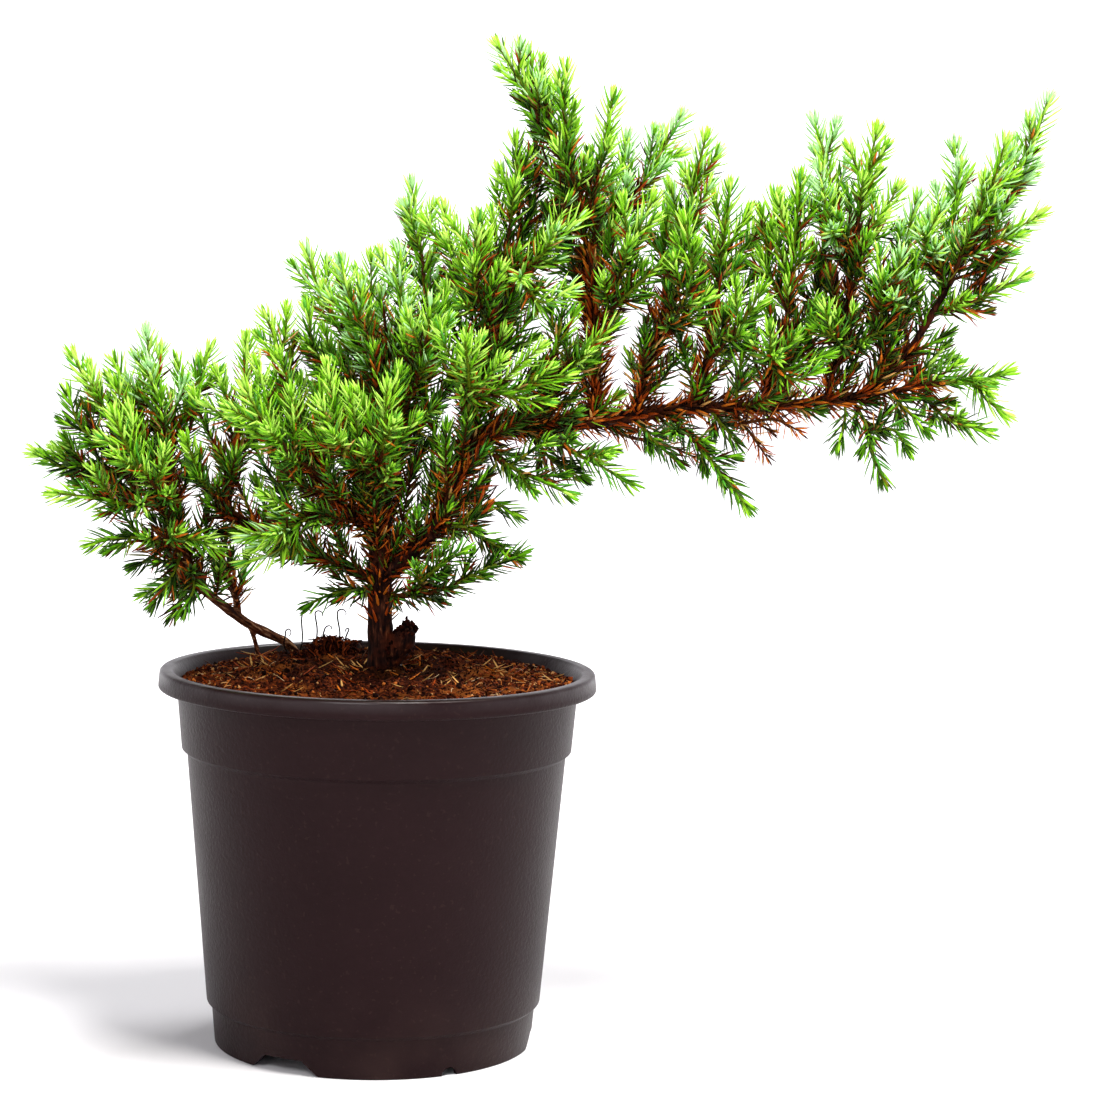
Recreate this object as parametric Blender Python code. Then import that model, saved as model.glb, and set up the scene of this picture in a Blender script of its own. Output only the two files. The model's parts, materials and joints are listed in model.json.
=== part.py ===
"""A young juniper trained as a bonsai, in a round plastic nursery pot.

Lengths are in millimetres and are turned into metres as each mesh is made. The
pot stands on z = 0 with its axis on the origin. The tree is laid out from the
point where its trunk leaves the potting mix: x along the long limb, y towards
the back, and height above the mix.
"""

import math

import bmesh
import bpy
import numpy as np
from mathutils import Matrix, Vector

MM = 0.001
GAP = 0.3  # left between two pieces that touch

# Pot, outside
POT_HEIGHT = 112.0
RIM_RADIUS = 65.0
RIM_WIDTH = 3.6  # flat top of the rim
RIM_FLARE = 0.5  # the lip is this much wider at its lower edge
LIP_HEIGHT = 5.6
LIP_OVERHANG = 5.6  # how far the lip stands out from the band below it
BAND_HEIGHT = 17.8
BAND_STEP = 1.6
FOOT_HEIGHT = 11.6
FOOT_STEP = 1.5
DRAFT = 0.086  # radius gained for each millimetre of height, so that the pot leaves its mould
STEP_RISE = 1.2  # each step in the wall is a short slope this high
EDGE = 0.5  # small chamfer on the moulded edges

# Pot, inside and underneath
WALL = 1.8
FLOOR = 2.0
PAD_RADIUS = 25.0  # the middle of the floor rests on the table, as the foot does
PAD_SLOPE = 1.0
CHANNEL_HEIGHT = 3.5  # the ring between pad and foot is raised, for drainage
DRAIN_HOLES = 6
DRAIN_HOLE_RADIUS = 4.0
NOTCHES = 3
NOTCH_FIRST = -120.0  # degrees round from +X
NOTCH_WIDTH = 23.0  # at the table
NOTCH_TOP_WIDTH = 13.0
NOTCH_HEIGHT = 4.4
VENT_FIRST = -59.0
VENT_RADIUS = 2.5

# Potting mix
HEADSPACE = 2.0  # from the rim down to the level of the mix round the trunk
MIX_DISH = 1.6  # how far the mix falls from the trunk to the wall
MIX_BUMP = 0.7
SOCKET_TOP = 12.0  # the sockets round the stems are cut from this high

# Tree
TWIG_RADIUS = 0.8
BARE_TWIG = 6.0  # brown twig before a shoot's leaves begin
LEAF_GAP = 1.0  # air between two neighbouring shoots
THICKNESS = 1.0  # of every stem, against the radii below

POT_STEPS = 44
MIX_STEPS = 30
TUBE_PROFILE = 1  # a curve's bevel_resolution: 4 sides and 2 more for each
STEM_PROFILE = 2

SOIL_LEVEL = POT_HEIGHT - HEADSPACE

# Stems: x, y, height above the mix, radius
TRUNK = [
    (2, 4, -24, 3.0), (1.5, 3, -10, 4.2), (1, 3, 0, 4.6), (0.5, 2, 10, 3.6), (0, 0, 30, 3.4),
    (0, 0, 45, 3.0), (1, 0, 58, 2.6), (3, 1, 72, 2.0), (6, 2, 88, 1.2),
]
LONG_LIMB = [
    (0, 0, 28, 2.4), (5, -2, 33, 2.4), (11, -4, 39, 2.4), (18.5, -6, 48, 2.5), (22, -6, 58, 2.4),
    (26, -5, 67, 2.3), (34, -3, 74, 2.2), (50, 0, 75.5, 2.2), (68, 2, 77.5, 2.1), (82, 2, 80, 1.9),
    (96, 1, 81.5, 1.8), (112, 0, 82, 1.6), (124, 0, 83.5, 1.4), (140, 0, 86, 1.3),
    (152, 0, 96, 1.1), (161, 0, 110, 1.0), (168, 0, 123, 0.8),
]
LIMB_STEMS = [
    [(26, -5, 67, 1.6), (26, -4, 80, 1.4), (29, -2, 95, 1.2), (33, 0, 112, 1.0), (36, 0, 126, 0.8)],
    [(62, 1, 77, 1.8), (63, 2, 90, 1.4), (62, 3, 105, 1.3), (61, 3, 120, 1.0), (59, 3, 130, 0.8)],
    [(75, 2, 79, 1.3), (77, 0, 90, 1.1), (81, -3, 105, 0.9), (84, -4, 118, 0.8)],
    [(93, 1, 81, 1.3), (95, 3, 94, 1.0), (98, 4, 110, 0.8)],
    [(112, 0, 82, 1.2), (114, -3, 93, 1.0), (118, -4, 106, 0.8)],
    [(131, 0, 84.5, 1.2), (133, 2, 94, 1.0), (136, 4, 106, 0.9), (137, 4, 118, 0.8)],
    [(141, 0, 86, 1.1), (152, -2, 88, 0.9), (163, -3, 90, 0.8)],
]
LEFT_STEMS = [
    [
        (0, 0, 28, 1.8), (-10, 2, 32, 1.6), (-20, 6, 36, 1.4), (-30, 10, 39, 1.3),
        (-38, 12, 42, 1.2), (-47, 12, 48, 1.1), (-46, 11, 58, 1.0), (-44, 10, 68, 0.9),
    ],
    [(0, 0, 42, 1.8), (-8, -6, 48, 1.5), (-16, -10, 58, 1.2), (-22, -12, 70, 0.9)],
]
STUMP = [(1, 2, 2, 2.8), (5, 1, 7, 2.6), (8, 0, 11, 2.2), (9.5, 0, 13, 1.3)]
SIDE_STEM = [
    (-24, 47, -12, 1.3), (-27, 46.5, -3, 1.5), (-31, 44, 3.2, 1.5), (-38, 38, 7.5, 1.5),
    (-44.5, 30, 12.6, 1.4), (-52, 19, 20.5, 1.4), (-56, 14, 26, 1.3), (-59, 11, 34, 1.2),
    (-62, 9, 45, 1.1), (-64, 8, 57, 1.0), (-64, 8, 67, 0.8),
]
SIDE_TWIG = [(-44.5, 30, 12.6, 1.0), (-46, 26, 22, 0.9), (-50, 20, 33, 0.8)]
SIDE_ROOT = [(-42, 33, 11, 0.8), (-40.5, 35, 6, 0.7), (-39.5, 37, 1, 0.7), (-39, 38, -5, 0.7)]

# Leafy sprays: name, reach of the needles from the stem, then the stem's route from its
# branch to its tip, and the route of any shoot that forks from it.
SPRAYS = [
    ("left_spray_tip", 7, [(-62, 9, 44), (-75, 8, 52), (-88, 7, 59), (-103, 6, 64)],
     [(-70, 8, 50), (-76, -3, 50), (-85, -6, 52), (-95, -8, 53)]),
    ("left_spray_outer", 7, [(-64, 8, 60), (-74, 2, 70), (-84, 0, 80), (-91, -1, 93)],
     [(-70, 5, 66), (-75, 14, 77), (-82, 20, 91)]),
    ("left_spray_top", 6.5, [(-64, 8, 67), (-67, 6, 78), (-69, 5, 88), (-70, 4, 100)]),
    ("left_spray_inner", 6.5, [(-64, 8, 64), (-60, 13, 75), (-56, 17, 85), (-53, 19, 95)]),
    ("left_spray_front", 8, [(-62, 9, 48), (-67, -6, 57), (-73, -13, 67), (-77, -15, 77)]),
    ("left_spray_low", 6.5, [(-59, 11, 34), (-68, 1, 39), (-76, -3, 40), (-85, -5, 38)],
     [(-64, 5, 37), (-56, -1, 40), (-48, -3, 37)]),
    ("left_spray_lowest", 5.5, [(-54, 14, 24), (-62, 17, 25), (-72, 19, 21)],
     [(-59, 16, 25), (-60, 8, 20), (-62, 4, 16)]),
    ("left_spray_back", 8, [(-63, 9, 50), (-69, 24, 58), (-75, 32, 68)]),
    ("left_spray_small", 5, [(-47, 12, 48), (-53, 2, 57), (-57, -5, 69)]),
    ("middle_spray_top", 6.5, [(-44, 10, 68), (-42, 10, 78), (-41, 9, 88), (-41, 8, 98)],
     [(-43, 10, 74), (-47, 4, 76), (-51, 0, 79)]),
    ("middle_spray_upper", 7, [(-22, -12, 70), (-26, -9, 84), (-29, -7, 94), (-34, -6, 106)]),
    ("middle_spray_low", 6.5, [(-12, -8, 53), (-22, -18, 47), (-30, -22, 44), (-38, -23, 43)],
     [(-22, -18, 47), (-29, -12, 38), (-39, -9, 34)]),
    ("middle_spray_front", 8.5, [(-17, -10, 60), (-25, -20, 67), (-32, -26, 76), (-38, -28, 86)]),
    ("middle_spray_inner", 7.5, [(-14, -9, 56), (-20, -1, 64), (-23, 5, 74), (-25, 8, 86)]),
    ("middle_spray_back", 8, [(-28, 9, 38), (-31, 19, 52), (-34, 25, 64), (-36, 28, 77)]),
    ("low_left_spray", 4.5, [(0, 0, 27), (-7, -6, 26), (-14, -9, 25), (-20, -11, 22)]),
    ("crown_spray_left", 7.5,
     [(4, 1, 78), (-6, 10, 90), (-14, 14, 102), (-20, 15, 113), (-24, 15, 125)],
     [(-6, 10, 90), (-5, 17, 105), (-5, 20, 123)]),
    ("crown_spray_middle", 7.5, [(5, 2, 83), (-1, -5, 95), (-8, -9, 108), (-12, -10, 122)],
     [(1, -3, 91), (5, -7, 106), (5, -8, 125)]),
    ("crown_spray_peak", 7.5,
     [(6, 2, 88), (11, 6, 104), (11, 11, 120), (9, 13, 132), (7, 13, 145)]),
    ("crown_spray_right", 7, [(31, -1, 104), (28, -12, 112), (27, -15, 122), (28, -16, 135)],
     [(29, -8, 109), (22, 2, 118), (17, 6, 138)]),
    ("crown_spray_leader", 6.5, [(36, 0, 126), (37, -1, 136), (38, -1, 147), (38, -1, 158)]),
    ("crown_spray_front_right", 8, [(26, -4, 78), (26, -16, 84), (26, -27, 92), (25, -34, 101)],
     [(26, -16, 84), (38, -18, 86), (54, -18, 91)]),
    ("crown_spray_front", 8.5, [(0, 0, 50), (0, -14, 60), (2, -24, 72), (3, -30, 87)],
     [(0, -14, 60), (-9, -23, 68), (-16, -32, 82)]),
    ("crown_spray_front_high", 8.5, [(3, 1, 72), (9, -11, 84), (13, -19, 97), (15, -23, 111)]),
    ("crown_spray_back", 8.5, [(2, 0, 66), (-8, 14, 72), (-16, 24, 82), (-22, 30, 94)],
     [(-5, 10, 70), (8, 22, 88), (15, 30, 112)]),
    ("crown_spray_back_right", 8, [(28, -3, 90), (34, 12, 100), (38, 22, 112), (40, 27, 124)]),
    ("crown_spray_sweep", 8, [(34, 0, 116), (42, -9, 122), (50, -13, 129), (57, -15, 136)],
     [(40, -7, 120), (46, -18, 112), (55, -21, 116)]),
    ("top_spray_left", 6.5,
     [(59, 3, 130), (55, 3, 145), (48, 3, 160), (40, 3, 174), (32, 3, 186)],
     [(48, 3, 158), (45, 8, 169), (41, 10, 184)]),
    ("top_spray_middle", 6, [(60, 3, 126), (55, -5, 144), (52, -8, 161), (52, -9, 179)],
     [(58, 0, 134), (62, -4, 148), (66, -6, 171)]),
    ("top_spray_right", 6, [(61, 3, 118), (66, 10, 136), (69, 15, 148), (71, 17, 160)],
     [(64, 8, 129), (75, 15, 146), (87, 20, 167)]),
    ("top_spray_low", 6.5, [(62, 3, 105), (70, -7, 113), (77, -11, 120), (84, -14, 126)],
     [(67, -4, 110), (71, -10, 126), (78, -13, 142)]),
    ("top_spray_back", 8, [(62, 3, 108), (56, 16, 118), (52, 24, 130), (50, 28, 142)]),
    ("third_spray_tip", 6.5, [(84, -4, 118), (88, -5, 133), (90, -6, 146), (93, -6, 160)]),
    ("third_spray_front", 6, [(81, -3, 104), (87, -12, 107), (94, -16, 114)],
     [(85, -9, 106), (89, -18, 120), (87, -21, 136)]),
    ("fourth_spray_tip", 6.5, [(98, 4, 110), (99, 4, 122), (100, 3, 134), (101, 3, 146)],
     [(98, 4, 119), (105, 12, 127), (111, 16, 136)], [(98, 4, 120), (95, 14, 123), (91, 22, 125)]),
    ("fourth_spray_low", 6.5, [(95, 3, 94), (101, -7, 102), (106, -12, 109), (110, -14, 117)]),
    ("fifth_spray_tip", 6.5, [(118, -4, 106), (119, -5, 122), (120, -5, 135), (121, -5, 149)],
     [(118, -4, 111), (113, 5, 124), (115, 9, 144)]),
    ("fifth_spray_front", 6, [(114, -3, 93), (113, -15, 98), (112, -23, 105)],
     [(113, -9, 95), (120, -15, 91), (126, -18, 94)]),
    ("sixth_spray_left", 6.5, [(137, 4, 118), (134, 8, 134), (131, 10, 148), (126, 11, 166)],
     [(135, 5, 124), (130, -5, 136), (126, -10, 151)]),
    ("sixth_spray_right", 6.5, [(137, 4, 116), (138, 0, 132), (140, -1, 147), (143, -2, 163)],
     [(137, 2, 122), (144, 9, 133), (151, 13, 147)]),
    ("sixth_spray_low", 5.5, [(134, 3, 98), (141, -7, 103), (147, -10, 106)],
     [(137, -1, 100), (131, -12, 104), (128, -17, 112)]),
    ("end_spray_tip", 6, [(168, 0, 123), (176, 0, 138), (184, 0, 151), (189, 0, 162), (193, 0, 173)],
     [(178, 0, 141), (184, 7, 148), (191, 10, 154)]),
    ("end_spray_upper", 6, [(166, 0, 119), (171, -8, 136), (176, -11, 149), (179, -12, 160)],
     [(168, -4, 127), (178, -9, 132), (190, -11, 140)]),
    ("end_spray_middle", 6, [(163, 0, 113), (166, 9, 130), (169, 13, 145), (168, 14, 160)],
     [(164, 4, 120), (158, -5, 130), (162, -10, 142)]),
    ("end_spray_side", 5.5, [(161, 0, 109), (170, -5, 113), (179, -7, 118), (186, -8, 122)]),
    ("end_spray_inner", 6.5, [(154, 0, 99), (153, 9, 116), (154, 12, 130), (157, 12, 144)],
     [(154, 4, 106), (149, -6, 114), (150, -12, 127)]),
    ("end_spray_low", 5, [(163, -3, 90), (170, -3, 91), (177, -4, 92), (183, -4, 94)],
     [(173, -3, 91), (177, -6, 86), (182, -8, 82)]),
    ("end_spray_fork", 5, [(152, -2, 88), (159, 6, 92), (168, 10, 97)],
     [(160, 7, 92), (162, 5, 84), (168, -5, 79), (177, -10, 77)]),
    ("hanging_spray_end", 4.5, [(138, 0, 85), (142, -6, 78), (144, -9, 70), (147, -10, 62)],
     [(143, -7, 75), (149, -12, 77), (153, -14, 72)]),
    ("hanging_spray_middle", 4.5, [(84, 2, 80), (91, -8, 73), (99, -12, 64), (107, -14, 54)]),
    ("dead_spray_limb", 4.5, [(65, 2, 77), (73, 9, 72), (83, 12, 70), (93, 13, 66)]),
    ("dead_spray_hanging", 4.5, [(103, 0, 82), (108, -7, 75), (113, -10, 68)],
     [(106, -4, 78), (115, -10, 79), (122, -13, 76)]),
    ("limb_spray_low", 6, [(48, 0, 75), (55, -10, 69), (64, -14, 65), (73, -16, 60)]),
    ("limb_spray_front", 6, [(30, -4, 70), (37, -14, 65), (46, -19, 61), (55, -21, 57)]),
    ("limb_spray_lowest", 4.5, [(16, -5, 45), (25, -13, 46), (33, -15, 42), (40, -16, 38)],
     [(25, -13, 46), (32, -12, 53), (40, -11, 50)]),
    ("low_right_spray", 4.5, [(0, 0, 24), (10, -8, 25), (20, -14, 28), (31, -17, 34), (42, -18, 39)],
     [(9, -7, 25), (15, -16, 32), (25, -24, 40)]),
]


def material(name, colour, roughness):
    """A plain finish: colour in linear RGB."""
    made = bpy.data.materials.new(name)
    made.use_nodes = True
    shader = made.node_tree.nodes["Principled BSDF"]
    shader.inputs["Base Color"].default_value = (*colour, 1)
    shader.inputs["Roughness"].default_value = roughness
    return made


def object_of(mesh, name, finish=None):
    made = bpy.data.objects.new(name, mesh)
    bpy.context.collection.objects.link(made)
    mesh.name = name
    if finish:
        mesh.materials.append(finish)
    return made


def helper_of(mesh, name):
    """An object that only shapes another: shown as wire, and left out of the model."""
    made = object_of(mesh, name)
    made.hide_render = True
    made.display_type = "WIRE"
    return made


def boolean(target, helpers, operation):
    """Cut the helpers from the target, or join them to it, all in one modifier."""
    group = bpy.data.collections.new(target.name + "_" + operation.lower())
    for helper in helpers:
        group.objects.link(helper)
    modifier = target.modifiers.new(operation.title(), "BOOLEAN")
    modifier.operation = operation
    modifier.solver = "EXACT"
    modifier.operand_type = "COLLECTION"
    modifier.collection = group


def smooth_shading(mesh, degrees=35):
    mesh.shade_smooth()
    mesh.set_sharp_from_angle(angle=math.radians(degrees))


def turned(name, outline, steps):
    """Spin an outline of (radius, height), which starts and ends on the axis."""
    work = bmesh.new()
    points = [work.verts.new((radius * MM, 0, height * MM)) for radius, height in outline]
    edges = [work.edges.new(pair) for pair in zip(points, points[1:])]
    bmesh.ops.spin(
        work, geom=points + edges, axis=(0, 0, 1), cent=(0, 0, 0), steps=steps,
        angle=math.tau, use_merge=True,
    )
    bmesh.ops.remove_doubles(work, verts=work.verts, dist=1e-6)
    bmesh.ops.recalc_face_normals(work, faces=work.faces)
    mesh = bpy.data.meshes.new(name)
    work.to_mesh(mesh)
    work.free()
    smooth_shading(mesh)
    return mesh


def prism(name, outline, depth):
    """Push an outline of (x, z) from y = 0 to y = depth."""
    work = bmesh.new()
    face = work.faces.new([work.verts.new((x * MM, 0, z * MM)) for x, z in outline])
    pushed = bmesh.ops.extrude_face_region(work, geom=[face])
    moved = [item for item in pushed["geom"] if isinstance(item, bmesh.types.BMVert)]
    bmesh.ops.translate(work, verts=moved, vec=(0, depth * MM, 0))
    bmesh.ops.recalc_face_normals(work, faces=work.faces)
    mesh = bpy.data.meshes.new(name)
    work.to_mesh(mesh)
    work.free()
    return mesh


def tube(name, axis, radii, profile):
    """A closed tube along a list of points, with its own radius at each."""
    curve = bpy.data.curves.new(name, "CURVE")
    curve.dimensions = "3D"
    curve.bevel_depth = MM
    curve.bevel_resolution = profile
    curve.use_fill_caps = True
    spline = curve.splines.new("POLY")
    spline.points.add(len(axis) - 1)
    for point, place, radius in zip(spline.points, axis, radii):
        point.co = (*(Vector(place) * MM), 1)
        point.radius = radius
    sketch = bpy.data.objects.new(name, curve)
    mesh = bpy.data.meshes.new_from_object(sketch)
    bpy.data.objects.remove(sketch)
    bpy.data.curves.remove(curve)
    work = bmesh.new()
    work.from_mesh(mesh)
    bmesh.ops.remove_doubles(work, verts=work.verts, dist=1e-6)
    bmesh.ops.recalc_face_normals(work, faces=work.faces)
    work.to_mesh(mesh)
    work.free()
    smooth_shading(mesh, 60)
    return mesh


def smooth_route(route, spacing):
    """Points at even shares along a Catmull-Rom curve through a route."""
    knots = np.array(route, float)
    before = 2 * knots[0] - knots[1]
    after = 2 * knots[-1] - knots[-2]
    knots = np.vstack([before, knots, after])
    found = [knots[1]]
    for a, b, c, d in zip(knots, knots[1:], knots[2:], knots[3:]):
        steps = max(1, round(np.linalg.norm(c[:3] - b[:3]) / spacing))
        for share in np.arange(1, steps + 1) / steps:
            linear = (c - a) * share
            square = (2 * a - 5 * b + 4 * c - d) * share**2
            cubic = (3 * b - a - 3 * c + d) * share**3
            found.append((2 * b + linear + square + cubic) / 2)
    return np.array(found)


def in_pot(route):
    """A stem's route with its heights counted from the table, and its thickness applied."""
    placed = np.array(route, float)
    placed[:, 2] += SOIL_LEVEL
    if placed.shape[1] == 4:
        placed[:, 3] *= THICKNESS
    return placed


def distances(points, starts, ends):
    """From each point to each straight length between starts and ends."""
    along = ends - starts
    offset = points[:, None] - starts
    share = np.clip((offset * along).sum(2) / (along**2).sum(1), 0, 1)
    return np.linalg.norm(offset - share[..., None] * along, axis=2)


def nearest_on(point, axis):
    """The point of an axis that lies nearest."""
    starts, ends = axis[:-1, :3], axis[1:, :3]
    index = distances(point[None], starts, ends)[0].argmin()
    along = ends[index] - starts[index]
    share = np.clip((point - starts[index]) @ along / (along @ along), 0, 1)
    return starts[index] + share * along


def split_at(route, length):
    """Cut a route at a length from its start: the part before and the part after."""
    steps = np.linalg.norm(np.diff(route, axis=0), axis=1)
    covered = np.concatenate([[0], np.cumsum(steps)])
    index = int(np.searchsorted(covered, length))
    share = (length - covered[index - 1]) / steps[index - 1]
    cut = route[index - 1] + share * (route[index] - route[index - 1])
    rest = route[index:][covered[index:] > length + BARE_TWIG / 2]
    return np.vstack([route[:index], cut]), np.vstack([cut, rest])


def pot_profile():
    """Outer and inner outlines of the pot, each from the table or floor up to the rim."""
    lip_low = POT_HEIGHT - LIP_HEIGHT
    band_low = lip_low - BAND_HEIGHT
    body_high = band_low - STEP_RISE
    body_low = FOOT_HEIGHT + STEP_RISE
    band_top = RIM_RADIUS - LIP_OVERHANG
    band_bottom = band_top - DRAFT * BAND_HEIGHT
    body_top = band_bottom - BAND_STEP
    body_bottom = body_top - DRAFT * (body_high - body_low)
    foot_top = body_bottom - FOOT_STEP
    foot_bottom = foot_top - DRAFT * FOOT_HEIGHT
    rim_top = RIM_RADIUS - RIM_FLARE
    channel_top = CHANNEL_HEIGHT + FLOOR
    outer = [
        (foot_bottom - EDGE, 0), (foot_bottom, EDGE), (foot_top, FOOT_HEIGHT),
        (body_bottom, body_low), (body_top, body_high), (band_bottom, band_low),
        (band_top, lip_low), (RIM_RADIUS - EDGE, lip_low), (RIM_RADIUS, lip_low + EDGE),
        (rim_top, POT_HEIGHT - EDGE), (rim_top - EDGE, POT_HEIGHT),
    ]
    inner = [
        (foot_bottom + DRAFT * channel_top - WALL, channel_top), (foot_top - WALL, FOOT_HEIGHT),
        (body_bottom - WALL, body_low), (body_top - WALL, body_high),
        (band_bottom - WALL, band_low), (band_top - WALL, lip_low),
        (rim_top - RIM_WIDTH, POT_HEIGHT - EDGE), (rim_top - RIM_WIDTH + EDGE / 2, POT_HEIGHT),
    ]
    return outer, inner


def make_pot(finish):
    """The moulded pot: turned wall and floor, with notches in the foot and holes in the floor."""
    outer, inner = pot_profile()
    foot_inside = outer[0][0] - WALL
    channel_outside = inner[0][0] - WALL / 2
    under = [(0, 0), (PAD_RADIUS, 0), (PAD_RADIUS + PAD_SLOPE, CHANNEL_HEIGHT),
             (min(foot_inside, channel_outside), CHANNEL_HEIGHT), (foot_inside, 0)]
    pad_inside = PAD_RADIUS - WALL
    floor = [(pad_inside + PAD_SLOPE, CHANNEL_HEIGHT + FLOOR), (pad_inside, FLOOR), (0, FLOOR)]
    pot = object_of(turned("pot", under + outer + inner[::-1] + floor, POT_STEPS), "pot", finish)

    foot_radius = outer[1][0]
    top = NOTCH_TOP_WIDTH / 2
    below = NOTCH_WIDTH - top
    notch = prism("notch", [(-below, -NOTCH_HEIGHT), (below, -NOTCH_HEIGHT), (top, NOTCH_HEIGHT),
                            (-top, NOTCH_HEIGHT)], 4 * WALL)
    arc = [(VENT_RADIUS * math.cos(turn), VENT_RADIUS * math.sin(turn))
           for turn in (np.arange(12) + 0.5) * math.tau / 12]
    vent = prism("vent", arc, 4 * WALL)
    cutters = []
    for first, mesh in ((NOTCH_FIRST, notch), (VENT_FIRST, vent)):
        for number in range(NOTCHES):
            azimuth = math.radians(first + 360 / NOTCHES * number)
            cutter = helper_of(mesh.copy(), f"{mesh.name}_cutter_{number + 1}")
            inside = Matrix.Translation((0, (foot_radius - 2.5 * WALL) * MM, 0))
            cutter.matrix_world = Matrix.Rotation(azimuth - math.pi / 2, 4, "Z") @ inside
            cutters.append(cutter)
    hole = turned("drain_hole", [(0, CHANNEL_HEIGHT - 1), (DRAIN_HOLE_RADIUS, CHANNEL_HEIGHT - 1),
                                 (DRAIN_HOLE_RADIUS, CHANNEL_HEIGHT + FLOOR + 1),
                                 (0, CHANNEL_HEIGHT + FLOOR + 1)], 12)
    ring = (PAD_RADIUS + foot_inside) / 2
    for number in range(DRAIN_HOLES):
        turn = math.tau * number / DRAIN_HOLES
        cutter = helper_of(hole.copy(), f"drain_hole_cutter_{number + 1}")
        cutter.location = (ring * math.cos(turn) * MM, ring * math.sin(turn) * MM, 0)
        cutters.append(cutter)
    boolean(pot, cutters, "DIFFERENCE")
    return pot


def mix_height(x, y, radius):
    """Height of the uneven surface of the mix, which is level where it meets the wall."""
    out = math.hypot(x, y) / radius
    bumps = math.sin(0.31 * x + 1.3) * math.cos(0.27 * y) + 0.6 * math.sin(0.17 * x - 0.39 * y)
    return SOIL_LEVEL - MIX_DISH * out**2 + MIX_BUMP * bumps * (1 - out**6)


def make_mix(finish, stems):
    """The potting mix fills the pot, and has a socket round each stem that goes into it."""
    inner = pot_profile()[1]
    channel_top = CHANNEL_HEIGHT + FLOOR
    pad_inside = PAD_RADIUS - WALL
    top = SOIL_LEVEL - MIX_DISH
    walls = [(radius - GAP, height) for radius, height in inner[:-1]]
    below = [point for point in walls if point[1] < top - GAP]
    radius_at_top = float(np.interp(top, [h for _, h in walls], [r for r, _ in walls]))
    outline = [
        (0, FLOOR + GAP), (pad_inside - 2 * GAP, FLOOR + GAP),
        (pad_inside + PAD_SLOPE - GAP, channel_top + GAP), (below[0][0], channel_top + GAP),
    ] + below[1:]
    rings = [(radius_at_top * share, top) for share in (1, 0.86, 0.7, 0.52, 0.34, 0.16, 0)]
    mesh = turned("potting_mix", outline + rings, MIX_STEPS)
    for vertex in mesh.vertices:
        if abs(vertex.co.z - top * MM) < 1e-5:
            vertex.co.z = mix_height(vertex.co.x / MM, vertex.co.y / MM, radius_at_top) * MM
    mix = object_of(mesh, "potting_mix", finish)
    cutters = []
    for number, stem in enumerate(stems):
        buried = stem[stem[:, 2] < SOIL_LEVEL + SOCKET_TOP]
        radii = buried[:, 3] + GAP
        start = buried[0, :3] - (buried[1, :3] - buried[0, :3]) * 0.1
        axis = np.vstack([start, buried[1:, :3]])
        cutters.append(helper_of(tube("socket", axis, radii, STEM_PROFILE), f"socket_cutter_{number + 1}"))
    boolean(mix, cutters, "DIFFERENCE")
    return mix


def joined(name, meshes, finish):
    """Several overlapping closed meshes made one body."""
    made = object_of(meshes[0], name, finish)
    if meshes[1:]:
        helpers = [helper_of(mesh, f"{name}_piece_{n + 1}") for n, mesh in enumerate(meshes[1:])]
        boolean(made, helpers, "UNION")
    return made


def plan_sprays(wood):
    """Each spray's routes, snapped to its branch, with the bare twig cut from the first."""
    planned = []
    for name, reach, *routes in SPRAYS:
        first = in_pot(routes[0])
        spots = [nearest_on(first[0], axis) for axis in wood]
        first[0] = min(spots, key=lambda spot: np.linalg.norm(spot - first[0]))
        owner = int(np.argmin([np.linalg.norm(spot - first[0]) for spot in spots]))
        curve = smooth_route(first, 7)
        twig, main = split_at(curve, BARE_TWIG)
        leafy = [main]
        for route in routes[1:]:
            fork = in_pot(route)
            fork[0] = nearest_on(fork[0], main[1:])
            leafy.append(smooth_route(fork, 7))
        planned.append({"name": name, "reach": reach, "twig": twig, "owner": owner, "leafy": leafy})
    return planned


def needle_reach(route, full, starts_on_twig):
    """The spray's outline: thin at its twig, widest in its lower half, and tapered to the tip."""
    steps = np.linalg.norm(np.diff(route, axis=0), axis=1)
    share = np.concatenate([[0], np.cumsum(steps)]) / steps.sum()
    start = TWIG_RADIUS / full if starts_on_twig else 0.55
    return full * np.interp(share, [0, 0.22, 0.55, 0.85, 1], [start, 0.85, 1, 0.72, 0.3])


def room_for(route, others, wood):
    """The widest that a spray may be at each point without meeting a neighbour or a stem."""
    room = np.full(len(route), np.inf)
    for other in others:
        room = np.minimum(room, (distances(route, other[:-1], other[1:]).min(1) - LEAF_GAP) / 2)
    for stem in wood:
        thick = np.maximum(stem[:-1, 3], stem[1:, 3])
        clear = distances(route, stem[:-1, :3], stem[1:, :3]) - thick
        room = np.minimum(room, clear.min(1) - 2 * GAP)
    return room


def make_sprays(planned, stems, twigs, finish, dead_finish):
    """One closed body for each spray, shaped by the room that its neighbours leave it."""
    for index, spray in enumerate(planned):
        others = [route for n, other in enumerate(planned) if n != index for route in other["leafy"]]
        wood = stems + twigs[:index] + twigs[index + 1:]
        meshes = []
        for number, route in enumerate(spray["leafy"]):
            reach = needle_reach(route, spray["reach"], number == 0)
            beside = wood if number == 0 else wood + [twigs[index]]
            reach = np.maximum(np.minimum(reach, room_for(route, others, beside)), TWIG_RADIUS)
            if number == 0:
                away = route[1] - route[0]
                route[0] += away / np.linalg.norm(away) * GAP
                reach[0] = TWIG_RADIUS
            meshes.append(tube(spray["name"], route, reach, TUBE_PROFILE))
        colour = dead_finish if spray["name"].startswith("dead") else finish
        joined(spray["name"], meshes, colour)


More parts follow.
